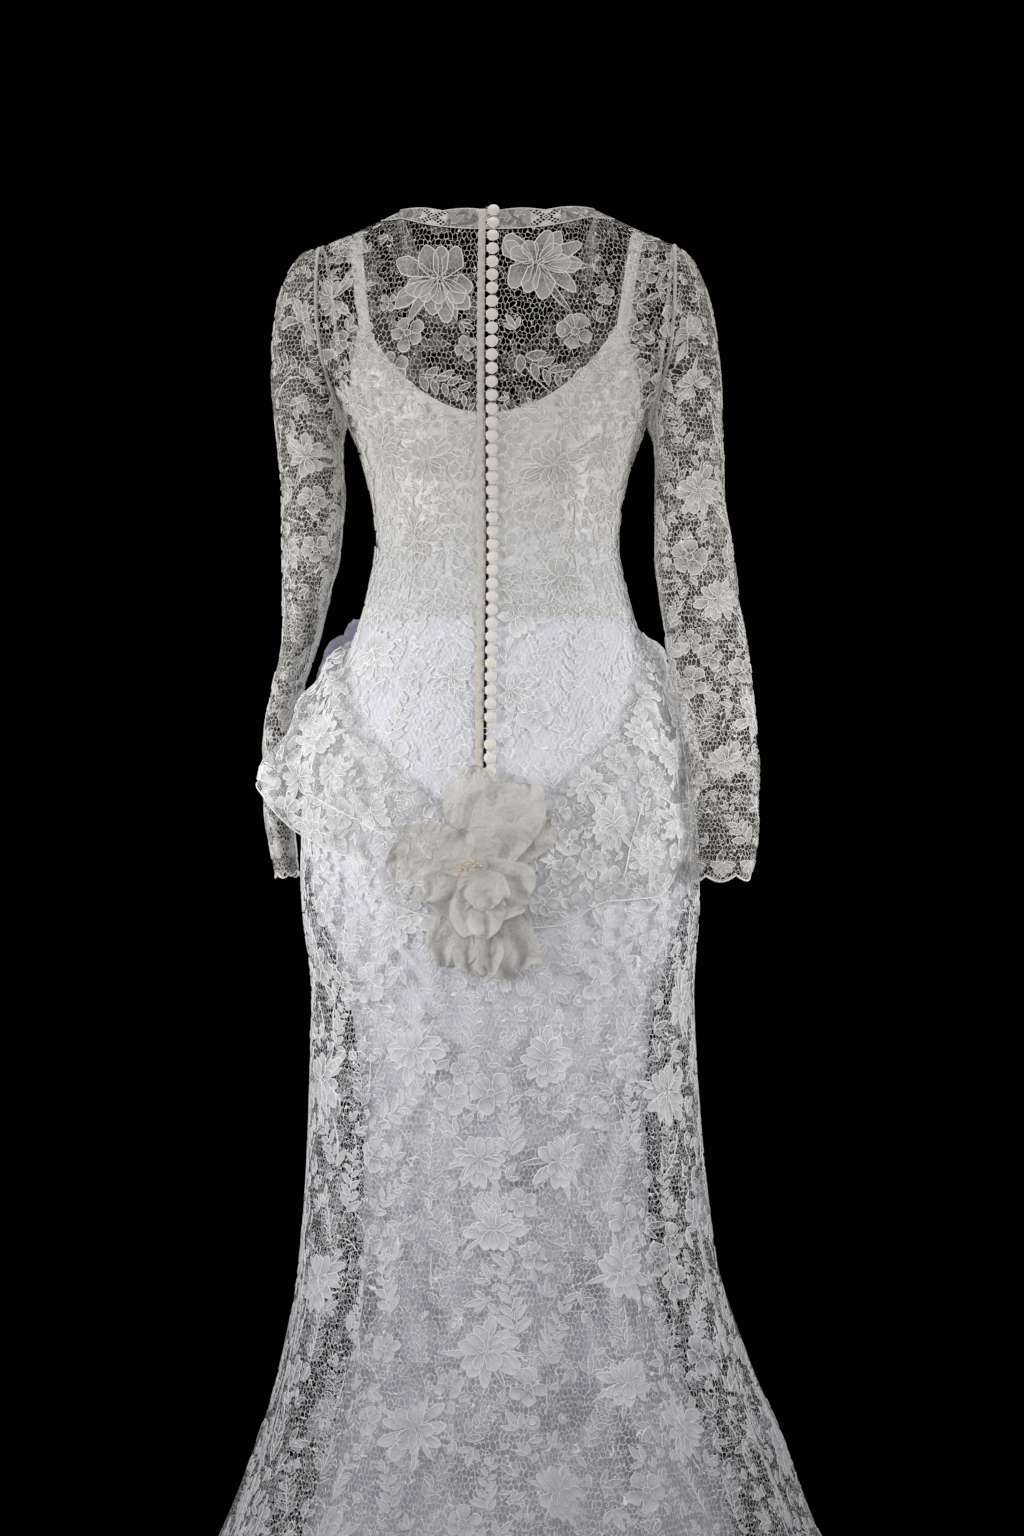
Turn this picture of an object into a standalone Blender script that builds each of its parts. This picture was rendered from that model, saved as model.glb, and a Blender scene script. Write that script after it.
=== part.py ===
"""Lace wedding gown over a satin slip, as worn by nobody: every piece is a thin cloth wall.

Metres, +Z up. The wearer faces -Y and the wearer's left is +X. The origin is on the centre line,
level with the place where the slip's straps cross the shoulders.

The gown's form is one surface, form(theta, h). theta is an angle round the body in degrees: 0 is the
wearer's left side, 90 the centre back, 180 the right side and 270 the centre front. h is the height up to
the armpits. Above them it goes on from ARMPIT to TOP, where it reaches the neck edge and the shoulder line.
Each piece is a stretch of that surface, moved in or out, with Solidify for its thickness.
"""

import math

import bmesh
import bpy
import numpy as np
from mathutils import Vector

NAME = "wedding_dress"

# Cloth and seams
WALL = 0.0012              # thickness of every cloth wall
SEAM = 0.0004              # gap between two pieces that meet edge to edge
LAYER = 0.0010             # air between the slip and the lace over it
TRIM_GAP = 0.0004          # what lies on a panel is this far above it

# Heights
ARMPIT = -0.195            # lower end of the armholes
YOKE = 0.200               # height parameter from the armpits to the neck and shoulder line
TOP = ARMPIT + YOKE
WAIST_SEAM = -0.387        # the bodices meet the skirts here, just below the waist
LACE_HEM = -1.420
SLIP_HEM = -1.400
SLIP_KNEE = -0.620         # the slip has a coarser grid below this, where it hangs free:
SLIP_SKIP = 3              # one row for this many of the lace skirt's
SLIP_LAST_ROW = 0.020      # and none nearer to its hem than this

# Neck and shoulders
NECK_HALF = 0.100          # half width of the neck opening at the shoulder line
NECK_HEIGHT = 0.026        # height of the shoulder line at the neck
NECK_CURVE = 1.9           # 2 would be a plain parabola from the centre line to the shoulder
TIP_HEIGHT = -0.011        # height of the shoulder line at the armhole
BAND_BACK = 0.115          # depth of the neck band at the centre back, as a share of YOKE
BAND_FRONT = 0.300         # the same at the centre front, where the columns are short
BAND_TURN = 48.0           # theta where the band's lower edge crosses the shoulder line
FRONT_GAP = 3.0            # seams' worth of height below the band and the shoulder line, on the front's short columns
BAND_SCALLOP = 0.0035      # height of the scallops on the band's free edge
BAND_SCALLOPS = 4          # scallops from the centre back to the centre front
BUST_OUT, BUST_APART, BUST_HEIGHT, BUST_SIZE = 0.016, 0.074, -0.240, 0.050

# Centre back fastening
RIGHT_EDGE = 0.0035        # x of the right back's edge, under the buttons
LEFT_EDGE = 0.0074         # x of the left back's edge, under the loop strip
STRIP_WIDTH = 0.0080
STRIP_ROW = 0.004          # the strip's rows are the panels' rows, but for any nearer to its ends than this
BUTTON_RADIUS = 0.0062
BUTTON_HEIGHT = 0.0045
BUTTON_PROFILE = ((0, 0), (0.15, 1.0), (0.70, 0.80), (1, 0))  # height and radius, back to dome
BUTTON_PLACES = 43
BUTTON_MISSING = 40        # this one has come off
BUTTON_TOP, BUTTON_LOW = 0.0150, -0.551
TOP_OF_STRIP = 0.0165

# Slip straps
STRAP_WIDTH = 0.0125
STRAP_FOOT = {"back": 0.44, "front": 0.72}   # share of YOKE where the strap leaves the slip
STRAP_BOW = 1.5            # above 1, the strap turns inwards mostly near the shoulder
STRAP_LOW_TURN = 42.2      # theta of the strap where it leaves the slip
STRAP_TOP_TURN = 35.1      # theta of the strap on the shoulder line
SLIP_SINK = 0.0030         # how far the slip falls away from the lace above the armpits,
SINK_START, SINK_END = -0.050, 0.010   # over these heights from the armpits

# Sleeves
CUFF_SCALLOP = 0.006
CUFF_SCALLOPS = 6
HEAD_ROWS = 2.0            # sleeve rows over which the armhole turns into the sleeve's own section
ARMHOLE_SIDE, ARMHOLE_UNDER = 1.2, 0.6   # walls between lace and sleeve, where the panel faces sideways and low down


# The grid: every layer uses the same columns and rows, so that its faces stay clear of the next layer's
SIDE_CELLS, CENTRE_CELLS = 4, 7    # columns in a quarter, beside the shoulder and under the neck band
LOW_CELLS, HIGH_CELLS = 6, 9       # rows from the waist seam to the armpits, and above
SKIRT_CELLS = 16
SKIRT_CROWD = 1.25         # above 1, the skirt's rows are closer together at the hips
QUARTER = np.concatenate([np.linspace(0, BAND_TURN, SIDE_CELLS + 1),
                          np.linspace(BAND_TURN, 90, CENTRE_CELLS + 1)[1:]])
ROUND = np.concatenate([QUARTER[:-1], 180 - QUARTER[:0:-1], 180 + QUARTER[:-1], 360 - QUARTER[:0:-1]])


def table(columns, rows):
    """Short rows with named columns, as arrays."""
    return dict(zip(columns.split(), np.array(rows, float).T))


# Sections of the gown round the body. shift moves the whole ring sideways.
RINGS = table("z half_width front back shift", [
    (ARMPIT, 0.1525, 0.112, 0.098, 0.000),
    (-0.245, 0.1345, 0.116, 0.095, 0.000),
    (-0.285, 0.1265, 0.108, 0.089, 0.000),
    (-0.322, 0.1240, 0.098, 0.084, 0.000),
    (-0.360, 0.1315, 0.102, 0.089, 0.000),
    (-0.395, 0.1400, 0.108, 0.098, 0.000),
    (-0.440, 0.1580, 0.116, 0.110, 0.000),
    (-0.500, 0.1820, 0.124, 0.122, 0.000),
    (-0.560, 0.1965, 0.129, 0.131, 0.000),
    (-0.620, 0.2030, 0.132, 0.136, -0.002),
    (-0.680, 0.2035, 0.134, 0.139, -0.003),
    (-0.780, 0.1955, 0.136, 0.142, -0.005),
    (-0.860, 0.1980, 0.140, 0.147, -0.006),
    (-0.950, 0.2035, 0.149, 0.160, -0.008),
    (-1.050, 0.2150, 0.164, 0.190, -0.010),
    (-1.150, 0.2405, 0.190, 0.236, -0.017),
    (-1.250, 0.2775, 0.221, 0.300, -0.0225),
    (-1.335, 0.3110, 0.250, 0.368, -0.0215),
    (LACE_HEM, 0.3580, 0.284, 0.446, -0.021),
])

# Above the armpits: the centre line and the armhole edge, from armpit level (t 0) to the top (t 1).
# keen is how far the panel still turns towards the side at its armhole edge (1 is all the way).
YOKE_BACK = table("t z_centre y_centre x_edge y_edge z_edge keen", [
    (0.00, -0.195, 0.098, 0.1525, 0.000, -0.195, 1.00),
    (0.20, -0.152, 0.099, 0.1660, 0.031, -0.160, 0.97),
    (0.40, -0.109, 0.097, 0.1760, 0.048, -0.120, 0.93),
    (0.60, -0.066, 0.092, 0.1800, 0.050, -0.080, 0.91),
    (0.80, -0.022, 0.083, 0.1810, 0.039, -0.038, 0.90),
    (0.92, 0.003, 0.074, 0.1805, 0.020, -0.0135, 0.90),
    (1.00, 0.0175, 0.068, 0.1800, 0.000, TIP_HEIGHT, 0.90),
])
YOKE_FRONT = table("t z_centre y_centre x_edge y_edge z_edge keen", [
    (0.00, -0.195, -0.112, 0.1525, 0.000, -0.195, 1.00),
    (0.20, -0.178, -0.113, 0.1600, -0.031, -0.163, 0.97),
    (0.40, -0.161, -0.112, 0.1660, -0.046, -0.124, 0.93),
    (0.60, -0.144, -0.108, 0.1700, -0.047, -0.084, 0.91),
    (0.80, -0.127, -0.104, 0.1750, -0.037, -0.040, 0.90),
    (0.92, -0.117, -0.102, 0.1780, -0.019, -0.0140, 0.90),
    (1.00, -0.110, -0.100, 0.1800, 0.000, TIP_HEIGHT, 0.90),
])

# Vertical folds of the lace skirt: troughs that deepen towards the hem.
SKIRT_FOLDS = table("theta width depth start", [
    (48, 9, 0.020, -0.74), (69, 7, 0.026, -0.78), (107, 7, 0.028, -0.76), (138, 9, 0.022, -0.72),
    (10, 10, 0.020, -0.90), (168, 10, 0.022, -0.88),
    (208, 9, 0.018, -0.90), (240, 9, 0.022, -0.84), (270, 10, 0.018, -0.95), (300, 9, 0.022, -0.84),
    (332, 9, 0.018, -0.90),
])

# How much narrower the slip is than the lace over it, at the sides, front and back.
SLIP_EASE = table("z side front back", [
    (WAIST_SEAM, 0.000, 0.000, 0.000),
    (-0.600, 0.001, 0.000, 0.000),
    (-0.660, 0.008, 0.002, 0.001),
    (-0.730, 0.024, 0.006, 0.004),
    (-0.860, 0.050, 0.012, 0.009),
    (-1.000, 0.061, 0.020, 0.020),
    (-1.120, 0.070, 0.030, 0.042),
    (-1.250, 0.078, 0.050, 0.080),
    (SLIP_HEM, 0.095, 0.075, 0.150),
])

# Upper edge of the slip as a share of YOKE above the armpits; side is 0 at the centre, 1 at the side seam.
SLIP_TOP = table("side back front", [
    (0.000, 0.015, 0.400), (0.120, 0.040, 0.420), (0.244, 0.105, 0.500), (0.390, 0.260, 0.640),
    (0.466, 0.440, 0.720), (0.601, 0.440, 0.720), (0.690, 0.250, 0.420), (0.800, 0.090, 0.150),
    (1.000, -0.030, -0.030),
])

# Sleeves: the inner and the outer outline, and the section's place and half depth front to back.
# x is positive away from the body on both sides.
SLEEVE_COLUMNS = "inner_x inner_z outer_x outer_z y half_depth"
SLEEVE_LEFT = table(SLEEVE_COLUMNS, [
    (0.1560, -0.1970, 0.1815, -0.0105, 0.000, 0.047),
    (0.1580, -0.2005, 0.1990, -0.0165, 0.001, 0.045),
    (0.1595, -0.2060, 0.2140, -0.0345, 0.001, 0.047),
    (0.1602, -0.2140, 0.2255, -0.0660, 0.001, 0.049),
    (0.1604, -0.2260, 0.2320, -0.1160, 0.001, 0.050),
    (0.1600, -0.2430, 0.2305, -0.1680, 0.000, 0.051),
    (0.1592, -0.2640, 0.2250, -0.2250, 0.000, 0.048),
    (0.1605, -0.2950, 0.2218, -0.2760, 0.001, 0.045),
    (0.1640, -0.3300, 0.2215, -0.3230, 0.002, 0.044),
    (0.1740, -0.3680, 0.2205, -0.3700, 0.000, 0.046),
    (0.1870, -0.4150, 0.2225, -0.4150, -0.013, 0.045),
    (0.2040, -0.4600, 0.2345, -0.4600, -0.032, 0.044),
    (0.2150, -0.5030, 0.2455, -0.5050, -0.052, 0.042),
    (0.2190, -0.5480, 0.2500, -0.5500, -0.068, 0.041),
    (0.2215, -0.5920, 0.2495, -0.5940, -0.080, 0.039),
    (0.2195, -0.6320, 0.2435, -0.6340, -0.087, 0.037),
    (0.2160, -0.6560, 0.2390, -0.6570, -0.090, 0.036),
])
SLEEVE_RIGHT = table(SLEEVE_COLUMNS, [
    (0.1560, -0.1970, 0.1815, -0.0105, 0.000, 0.047),
    (0.1580, -0.2005, 0.1955, -0.0205, 0.001, 0.045),
    (0.1600, -0.2060, 0.2085, -0.0440, 0.001, 0.047),
    (0.1618, -0.2140, 0.2190, -0.0750, 0.001, 0.049),
    (0.1628, -0.2260, 0.2262, -0.1200, 0.001, 0.050),
    (0.1632, -0.2430, 0.2297, -0.1690, 0.001, 0.049),
    (0.1632, -0.2640, 0.2310, -0.2250, 0.002, 0.044),
    (0.1628, -0.2950, 0.2330, -0.2760, 0.004, 0.040),
    (0.1628, -0.3300, 0.2410, -0.3230, 0.010, 0.036),
    (0.1670, -0.3680, 0.2460, -0.3700, 0.018, 0.032),
    (0.1745, -0.4150, 0.2540, -0.4150, 0.028, 0.030),
    (0.1812, -0.4600, 0.2602, -0.4600, 0.040, 0.028),
    (0.1880, -0.5050, 0.2632, -0.5050, 0.051, 0.026),
    (0.1950, -0.5500, 0.2670, -0.5500, 0.060, 0.025),
    (0.1982, -0.5950, 0.2665, -0.5940, 0.064, 0.024),
    (0.1985, -0.6340, 0.2642, -0.6320, 0.066, 0.024),
    (0.2000, -0.6560, 0.2580, -0.6540, 0.066, 0.024),
])

# Hip drapes: their upper edge and hem as heights, how far the hem stands off, and how far the middle puffs.
DRAPE_COLUMNS = "theta top hem lift puff"
DRAPE_LEFT = table(DRAPE_COLUMNS, [
    (-28, -0.428, -0.510, 0.004, 0.004),
    (-16, -0.420, -0.532, 0.006, 0.008),
    (-2, -0.415, -0.552, 0.014, 0.012),
    (14, -0.430, -0.572, 0.050, 0.006),
    (26, -0.452, -0.607, 0.028, 0.005),
    (38, -0.480, -0.628, 0.012, 0.007),
    (51, -0.515, -0.642, 0.009, 0.008),
    (55, -0.525, -0.672, 0.009, 0.008),
    (68, -0.560, -0.690, 0.007, 0.006),
    (82, -0.595, -0.700, 0.004, 0.003),
])
DRAPE_RIGHT = table(DRAPE_COLUMNS, [
    (98, -0.595, -0.706, 0.004, 0.003),
    (108, -0.570, -0.703, 0.006, 0.006),
    (122, -0.530, -0.680, 0.008, 0.008),
    (140, -0.480, -0.676, 0.006, 0.006),
    (152, -0.440, -0.648, 0.002, 0.004),
    (166, -0.415, -0.600, 0.002, 0.005),
    (180, -0.405, -0.575, 0.003, 0.009),
    (200, -0.405, -0.570, 0.010, 0.012),
    (240, -0.430, -0.590, 0.012, 0.008),
    (275, -0.440, -0.575, 0.010, 0.007),
    (316, -0.428, -0.516, 0.004, 0.004),
])
DRAPE_PLEAT = 0.0022       # height of the drape's soft pleats, which run to the rose
DRAPE_PLEATS = 3
DRAPE_GAP = 0.0010          # the drape's inside is this far above the lace

# Fabric flowers. angle 0 points to the right of someone who looks at the flower, and 90 up. lift tips the petal
# away from the cloth below, cup bends its sides up, ruffle waves its edge, and rise sets its root higher.
PETAL_COLUMNS = "angle length width lift cup ruffle rise"
BACK_ROSE = table(PETAL_COLUMNS, [
    (75, 0.098, 0.080, 0.012, 0.004, 0.003, 0.000),
    (163, 0.084, 0.074, 0.012, 0.005, 0.004, 0.001),
    (22, 0.088, 0.062, 0.010, 0.005, 0.003, 0.002),
    (245, 0.086, 0.062, 0.010, 0.006, 0.004, 0.002),
    (296, 0.106, 0.066, 0.010, 0.005, 0.004, 0.000),
    (125, 0.056, 0.060, 0.020, 0.008, 0.003, 0.005),
    (335, 0.054, 0.052, 0.022, 0.010, 0.003, 0.006),
])
HIP_FLOWER = table(PETAL_COLUMNS, [
    (8, 0.064, 0.056, 0.014, 0.004, 0.002, 0.000),
    (62, 0.056, 0.044, 0.016, 0.005, 0.002, 0.001),
    (130, 0.050, 0.046, 0.010, 0.005, 0.002, 0.002),
    (205, 0.052, 0.050, 0.008, 0.005, 0.002, 0.001),
    (285, 0.058, 0.050, 0.010, 0.005, 0.002, 0.000),
])
ROSE_X, ROSE_Z = 0.010, -0.652
HIP_FLOWER_TURN, HIP_FLOWER_Z = -36.0, -0.452
HIP_FLOWER_REACH = 0.150   # distance of the hip flower from the centre of the body
PETAL_SEAT = 0.012         # the petals' roots stand this far off the lace, on the flower's stem
STEM_RADIUS = 0.011
STEM_SINK = 0.006          # how far the stem's top goes into the petals
PETAL_CELLS = 4
PETAL_ROOT = 0.04          # a petal starts at this share of its length
# A petal's outline: width goes as sin(pi (NARROW + TAPER r)) ** BLUNT, and ROUND draws its end's corners in.
PETAL_NARROW, PETAL_TAPER, PETAL_BLUNT, PETAL_ROUND = 0.12, 0.74, 0.7, 0.12
PETAL_WAVES = 2.5          # half waves of the ruffle across a petal

COLOURS = {
    "satin": ((0.86, 0.85, 0.84, 1), 0.35),
    "lace": ((0.82, 0.80, 0.77, 1), 0.80),
    "skirt_lace": ((0.80, 0.80, 0.83, 1), 0.80),
    "tulle": ((0.80, 0.79, 0.82, 1), 0.75),
    "organza": ((0.68, 0.65, 0.61, 1), 0.60),
    "lilac": ((0.58, 0.58, 0.66, 1), 0.55),
    "button": ((0.84, 0.82, 0.77, 1), 0.50),
}


def at(rows, key, column, where):
    """A column of a table at any value of its key column, as a cubic that never overshoots its rows."""
    order = np.argsort(rows[key])
    x, y = rows[key][order], rows[column][order]
    step = np.diff(x)
    slope = np.diff(y) / step
    product = slope[:-1] * slope[1:]
    inner = np.where(product > 0, 2 * product / np.where(product > 0, slope[:-1] + slope[1:], 1), 0)
    tangent = np.concatenate([slope[:1], inner, slope[-1:]])
    where = np.clip(where, x[0], x[-1])
    i = np.clip(np.searchsorted(x, where) - 1, 0, len(step) - 1)
    s = (where - x[i]) / step[i]
    bend = step[i] * ((s - 2 * s ** 2 + s ** 3) * tangent[i] + (s ** 3 - s ** 2) * tangent[i + 1])
    return y[i] + (y[i + 1] - y[i]) * (3 * s ** 2 - 2 * s ** 3) + bend


def ramp(start, end, value):
    """0 before start, 1 after end, eased between."""
    s = np.clip((value - start) / (end - start), 0, 1)
    return s * s * (3 - 2 * s)


def bust(x, z):
    """How far the two bust cups stand out of the front."""
    away = (np.abs(x) - BUST_APART) ** 2 + (z - BUST_HEIGHT) ** 2
    return BUST_OUT * np.exp(-away / (2 * BUST_SIZE ** 2))


def ring(across, deep, z, ease=None):
    """A point on the horizontal section at height z; ease takes the slip in from it."""
    half = at(RINGS, "z", "half_width", z)
    front, back = at(RINGS, "z", "front", z), at(RINGS, "z", "back", z)
    if ease:
        half = half - at(ease, "z", "side", z)
        front, back = front - at(ease, "z", "front", z), back - at(ease, "z", "back", z)
    x = half * across
    y = np.where(deep > 0, back, front) * deep
    y = np.where(deep < 0, y - bust(x, z) * -deep, y)
    return np.stack([x + at(RINGS, "z", "shift", z), y, z + 0 * x], -1)


def yoke(rows, across, deep, t):
    """A point above the armpits, whose last row is the neck edge and the shoulder line."""
    side = np.abs(across)

    def row(s):
        edge, keen = at(rows, "t", "y_edge", s), at(rows, "t", "keen", s)
        flat = np.sqrt(1 - keen ** 2)
        central = (np.sqrt(1 - (keen * side) ** 2) - flat) / (1 - flat)
        low, high = at(rows, "t", "z_centre", s), at(rows, "t", "z_edge", s)
        return (edge + (at(rows, "t", "y_centre", s) - edge) * central, low + (high - low) * side ** 2)

    y, z = row(t)
    y_last, z_last = row(np.ones_like(t))
    reach = rows["x_edge"][-1] * side
    neck = np.minimum(reach / NECK_HALF, 1)
    fall = (TIP_HEIGHT - NECK_HEIGHT) / (rows["x_edge"][-1] - NECK_HALF)
    y_top = rows["y_centre"][-1] * np.sqrt(1 - neck ** 2)
    z_top = rows["z_centre"][-1] + (NECK_HEIGHT - rows["z_centre"][-1]) * neck ** NECK_CURVE
    z_top = z_top + fall * np.maximum(reach - NECK_HALF, 0)
    blend = t ** 3
    x = at(rows, "t", "x_edge", t) * across
    y, z = y + blend * (y_top - y_last), z + blend * (z_top - z_last)
    y = np.where(deep < 0, y - bust(x, z) * np.abs(deep) * (1 - t), y)
    return np.stack([x, y, z], -1)


def form(theta, h):
    """A point of the gown's form; see the top of the file."""
    theta, h = np.broadcast_arrays(np.asarray(theta, float), np.asarray(h, float))
    turn = np.radians(theta)
    across, deep = np.cos(turn), np.sin(turn)
    low = ring(across, deep, np.minimum(h, ARMPIT))
    t = np.clip((h - ARMPIT) / YOKE, 0, 1)
    high = np.where((deep >= 0)[..., None], yoke(YOKE_BACK, across, deep, t), yoke(YOKE_FRONT, across, deep, t))
    return np.where((h <= ARMPIT)[..., None], low, high)


def skirt_form(theta, z):
    """The lace skirt: the form with its vertical folds."""
    points = form(theta, z)
    turn = np.radians(theta)
    out = np.stack([np.cos(turn), np.sin(turn), 0 * turn], -1)
    for angle, width, depth, start in zip(*SKIRT_FOLDS.values()):
        away = (theta - angle + 180) % 360 - 180
        points = points - (depth * np.exp(-(away / width) ** 2) * ramp(start, LACE_HEM, z))[..., None] * out
    return points


def slip_form(theta, z):
    """The slip skirt, inside the lace."""
    turn = np.radians(theta)
    return ring(np.cos(turn), np.sin(turn), z, SLIP_EASE)


def outward(surface, theta, h):
    """Unit normal of a surface, away from the body."""
    e_turn, e_h = 0.05, 0.0004
    round_it = surface(theta + e_turn, h) - surface(theta - e_turn, h)
    up = surface(theta, np.minimum(h + e_h, TOP)) - surface(theta, h - e_h)
    normal = np.cross(round_it, up)
    return normal / np.linalg.norm(normal, axis=-1, keepdims=True)


def moved(surface, theta, h, distance):
    """Points of a surface, moved out by a distance, or in where it is negative."""
    theta, h = np.broadcast_arrays(np.asarray(theta, float), np.asarray(h, float))
    return surface(theta, h) + outward(surface, theta, h) * np.asarray(distance)[..., None]


def material(name):
    """One of the cloths in COLOURS."""
    found = bpy.data.materials.get(name)
    if found:
        return found
    colour, roughness = COLOURS[name]
    made = bpy.data.materials.new(name)
    made.use_nodes = True
    shader = made.node_tree.nodes["Principled BSDF"]
    shader.inputs["Base Color"].default_value = colour
    shader.inputs["Roughness"].default_value = roughness
    shader.inputs["Metallic"].default_value = 0.0
    return made


def add_object(name, mesh, cloth):
    """Link a mesh into the dress's collection with its own copy of a cloth."""
    own = material(cloth).copy()
    own.name = name
    mesh.materials.append(own)
    made = bpy.data.objects.new(name, mesh)
    bpy.data.collections[NAME].objects.link(made)
    mesh.shade_smooth()
    return made


def grid_mesh(name, points, closed=False, flip=False):
    """An open surface on rows of points. Its faces look out where the rows go up and the columns go round."""
    rows, columns = points.shape[:2]
    i, j = np.meshgrid(np.arange(rows - 1), np.arange(columns if closed else columns - 1), indexing="ij")
    after = (j + 1) % columns
    corners = [i * columns + j, i * columns + after, (i + 1) * columns + after, (i + 1) * columns + j]
    faces = np.stack(corners[::-1] if flip else corners, -1).reshape(-1, 4)
    mesh = bpy.data.meshes.new(name)
    mesh.from_pydata(points.reshape(-1, 3).tolist(), [], faces.tolist())
    return mesh


def wall(name, points, cloth, closed=False, flip=False):
    """A cloth wall that is WALL thick, on the outer side of its points."""
    made = add_object(name, grid_mesh(name, points, closed, flip), cloth)
    solid = made.modifiers.new("thickness", "SOLIDIFY")
    solid.thickness = WALL
    solid.offset = 1.0
    return made


def seam_turn(z):
    """Half a seam's gap as an angle at height z."""
    return np.degrees(SEAM / 2 / at(RINGS, "z", "front", np.minimum(z, ARMPIT)))


def turn_at(x, h):
    """theta on the back where the form passes x, near the centre."""
    half = np.where(h <= ARMPIT, at(RINGS, "z", "half_width", np.minimum(h, ARMPIT)),
                    at(YOKE_BACK, "t", "x_edge", np.clip((h - ARMPIT) / YOKE, 0, 1)))
    shift = at(RINGS, "z", "shift", np.minimum(h, ARMPIT))
    return 90 - np.degrees(np.arcsin((x - shift) / half))


def band_edge(theta, back):
    """h where the neck band's lower edge runs; TOP past the place where it crosses the shoulder."""
    centre = 90 if back else 270
    share = BAND_BACK if back else BAND_FRONT
    along = np.minimum(np.abs(theta - centre) / (90 - BAND_TURN), 1)
    return TOP - YOKE * share * (1 - along ** 3)


def bodice_rows(top, high_cells):
    """Heights for a bodice panel: even rows up to the armpits, then rows up to its top, closer at both ends."""
    below = np.linspace(0, 1, LOW_CELLS + 1)[:, None]
    above = (1 - np.cos(np.pi * np.arange(1, high_cells + 1) / high_cells))[:, None] / 2
    low, knee = WAIST_SEAM + SEAM / 2, np.minimum(top, ARMPIT)
    return np.concatenate([low + below * (knee - low), knee + above * (top - knee)])


def lace_back(left):
    """Points of half the lace back, from the side seam to the centre fastening, up to the band and the shoulder."""
    theta = QUARTER if left else 180 - QUARTER[::-1]
    top = band_edge(theta, True) - np.where(np.abs(theta - 90) < 90 - BAND_TURN, SEAM, 2 * SEAM)
    h = bodice_rows(top, HIGH_CELLS)
    theta = np.repeat(theta[None, :], len(h), 0)
    side, centre = (0, -1) if left else (-1, 0)
    theta[:, side] += seam_turn(h[:, side]) * (1 if left else -1)
    theta[:, centre] = turn_at(LEFT_EDGE if left else RIGHT_EDGE, h[:, centre])
    return form(theta, h)


def lace_front():
    """Points of the lace front, one piece with its bust darts sewn in."""
    theta = np.concatenate([180 + QUARTER, 360 - QUARTER[-2::-1]])
    top = band_edge(theta, False) - FRONT_GAP * SEAM
    h = bodice_rows(top, HIGH_CELLS)
    theta = np.repeat(theta[None, :], len(h), 0)
    theta[:, 0] += seam_turn(h[:, 0])
    theta[:, -1] -= seam_turn(h[:, -1])
    return form(theta, h)


def neck_band():
    """Points of the lace border: from the left back's edge round the front to the right back's edge."""
    across = np.linspace(0, 1, 3)[:, None]
    neck_turn = math.degrees(math.acos(NECK_HALF / YOKE_BACK["x_edge"][-1]))

    def strip(along, back):
        low_turn, high_turn = 90 - along * (90 - BAND_TURN), 90 - along * (90 - neck_turn)
        share = BAND_BACK if back else BAND_FRONT
        low = TOP - YOKE * share * (1 - along ** 3)
        wave = np.abs(np.sin(np.pi * BAND_SCALLOPS / 2 * (along if back else 2 - along)))
        high = TOP - BAND_SCALLOP * (1 - wave) * (1 - along ** 6)
        theta = low_turn + (high_turn - low_turn) * across
        h = low + SEAM / 2 + (high - low - SEAM / 2) * across
        return form(theta if back else 360 - theta, h)

    along = np.linspace(0, 1, CENTRE_CELLS + 1)
    h = np.linspace(TOP - YOKE * BAND_BACK + SEAM / 2, TOP, 3)
    halves = []
    for edge, side in ((LEFT_EDGE, 1), (-RIGHT_EDGE, -1)):
        half = np.concatenate([strip(along, True), strip(along[-2::-1], False)], 1)
        half[:, 0] = form(turn_at(edge, h), h)
        halves.append(half * (side, 1, 1))
    return np.concatenate([halves[0], halves[1][:, -2::-1]], 1)


def under_lace(h):
    """How far the inside of the slip is from the form, which is the inside of the lace."""
    return LAYER + WALL + SLIP_SINK * ramp(ARMPIT + SINK_START, ARMPIT + SINK_END, h)


def slip_bodice():
    """The slip's fitted body, all round, with its scooped back."""
    side = np.abs(ROUND % 180 - 90) / 90
    share = np.where(ROUND <= 180, at(SLIP_TOP, "side", "back", side), at(SLIP_TOP, "side", "front", side))
    h = bodice_rows(ARMPIT + YOKE * share, 3)
    return wall("slip_bodice", moved(form, ROUND + 0 * h, h, -under_lace(h)), "satin", closed=True)


def slip_strap(name, left):
    """A strap from the slip's back over the shoulder to its front."""
    foot = {side: ARMPIT + YOKE * share + SEAM for side, share in STRAP_FOOT.items()}
    rise = np.linspace(0, 1, 8)[:, None]
    width = np.linspace(-0.5, 0.5, 3)[None, :]

    def half_strap(side):
        h = foot[side] + (TOP - foot[side]) * rise + 0 * width
        middle = STRAP_LOW_TURN + (STRAP_TOP_TURN - STRAP_LOW_TURN) * rise ** STRAP_BOW
        reach = YOKE_BACK["x_edge"][-1] * np.sin(np.radians(middle))
        theta = middle - np.degrees(width * STRAP_WIDTH / reach)
        theta = theta if side == "back" else 360 - theta
        return moved(form, theta, h, -under_lace(h))

    points = np.concatenate([half_strap("back"), half_strap("front")[-2::-1]])
    if left:
        return wall(name, points, "satin", flip=True)
    return wall(name, points * (-1, 1, 1), "satin")


def slip_skirt():
    """The slim lining skirt."""
    z = skirt_rows()
    low = z[z < SLIP_KNEE][::-SLIP_SKIP][::-1]
    z = np.concatenate([[SLIP_HEM], low[low > SLIP_HEM + SLIP_LAST_ROW], z[z >= SLIP_KNEE]])[:, None]
    return wall("slip_skirt", moved(slip_form, ROUND + 0 * z, z + 0 * ROUND, -LAYER - WALL), "satin", closed=True)


def skirt_rows():
    """Heights of the skirts' rows, closer together at the hips."""
    down = np.linspace(1, 0, SKIRT_CELLS + 1) ** SKIRT_CROWD
    return WAIST_SEAM - SEAM / 2 + (LACE_HEM - WAIST_SEAM) * down


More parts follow.
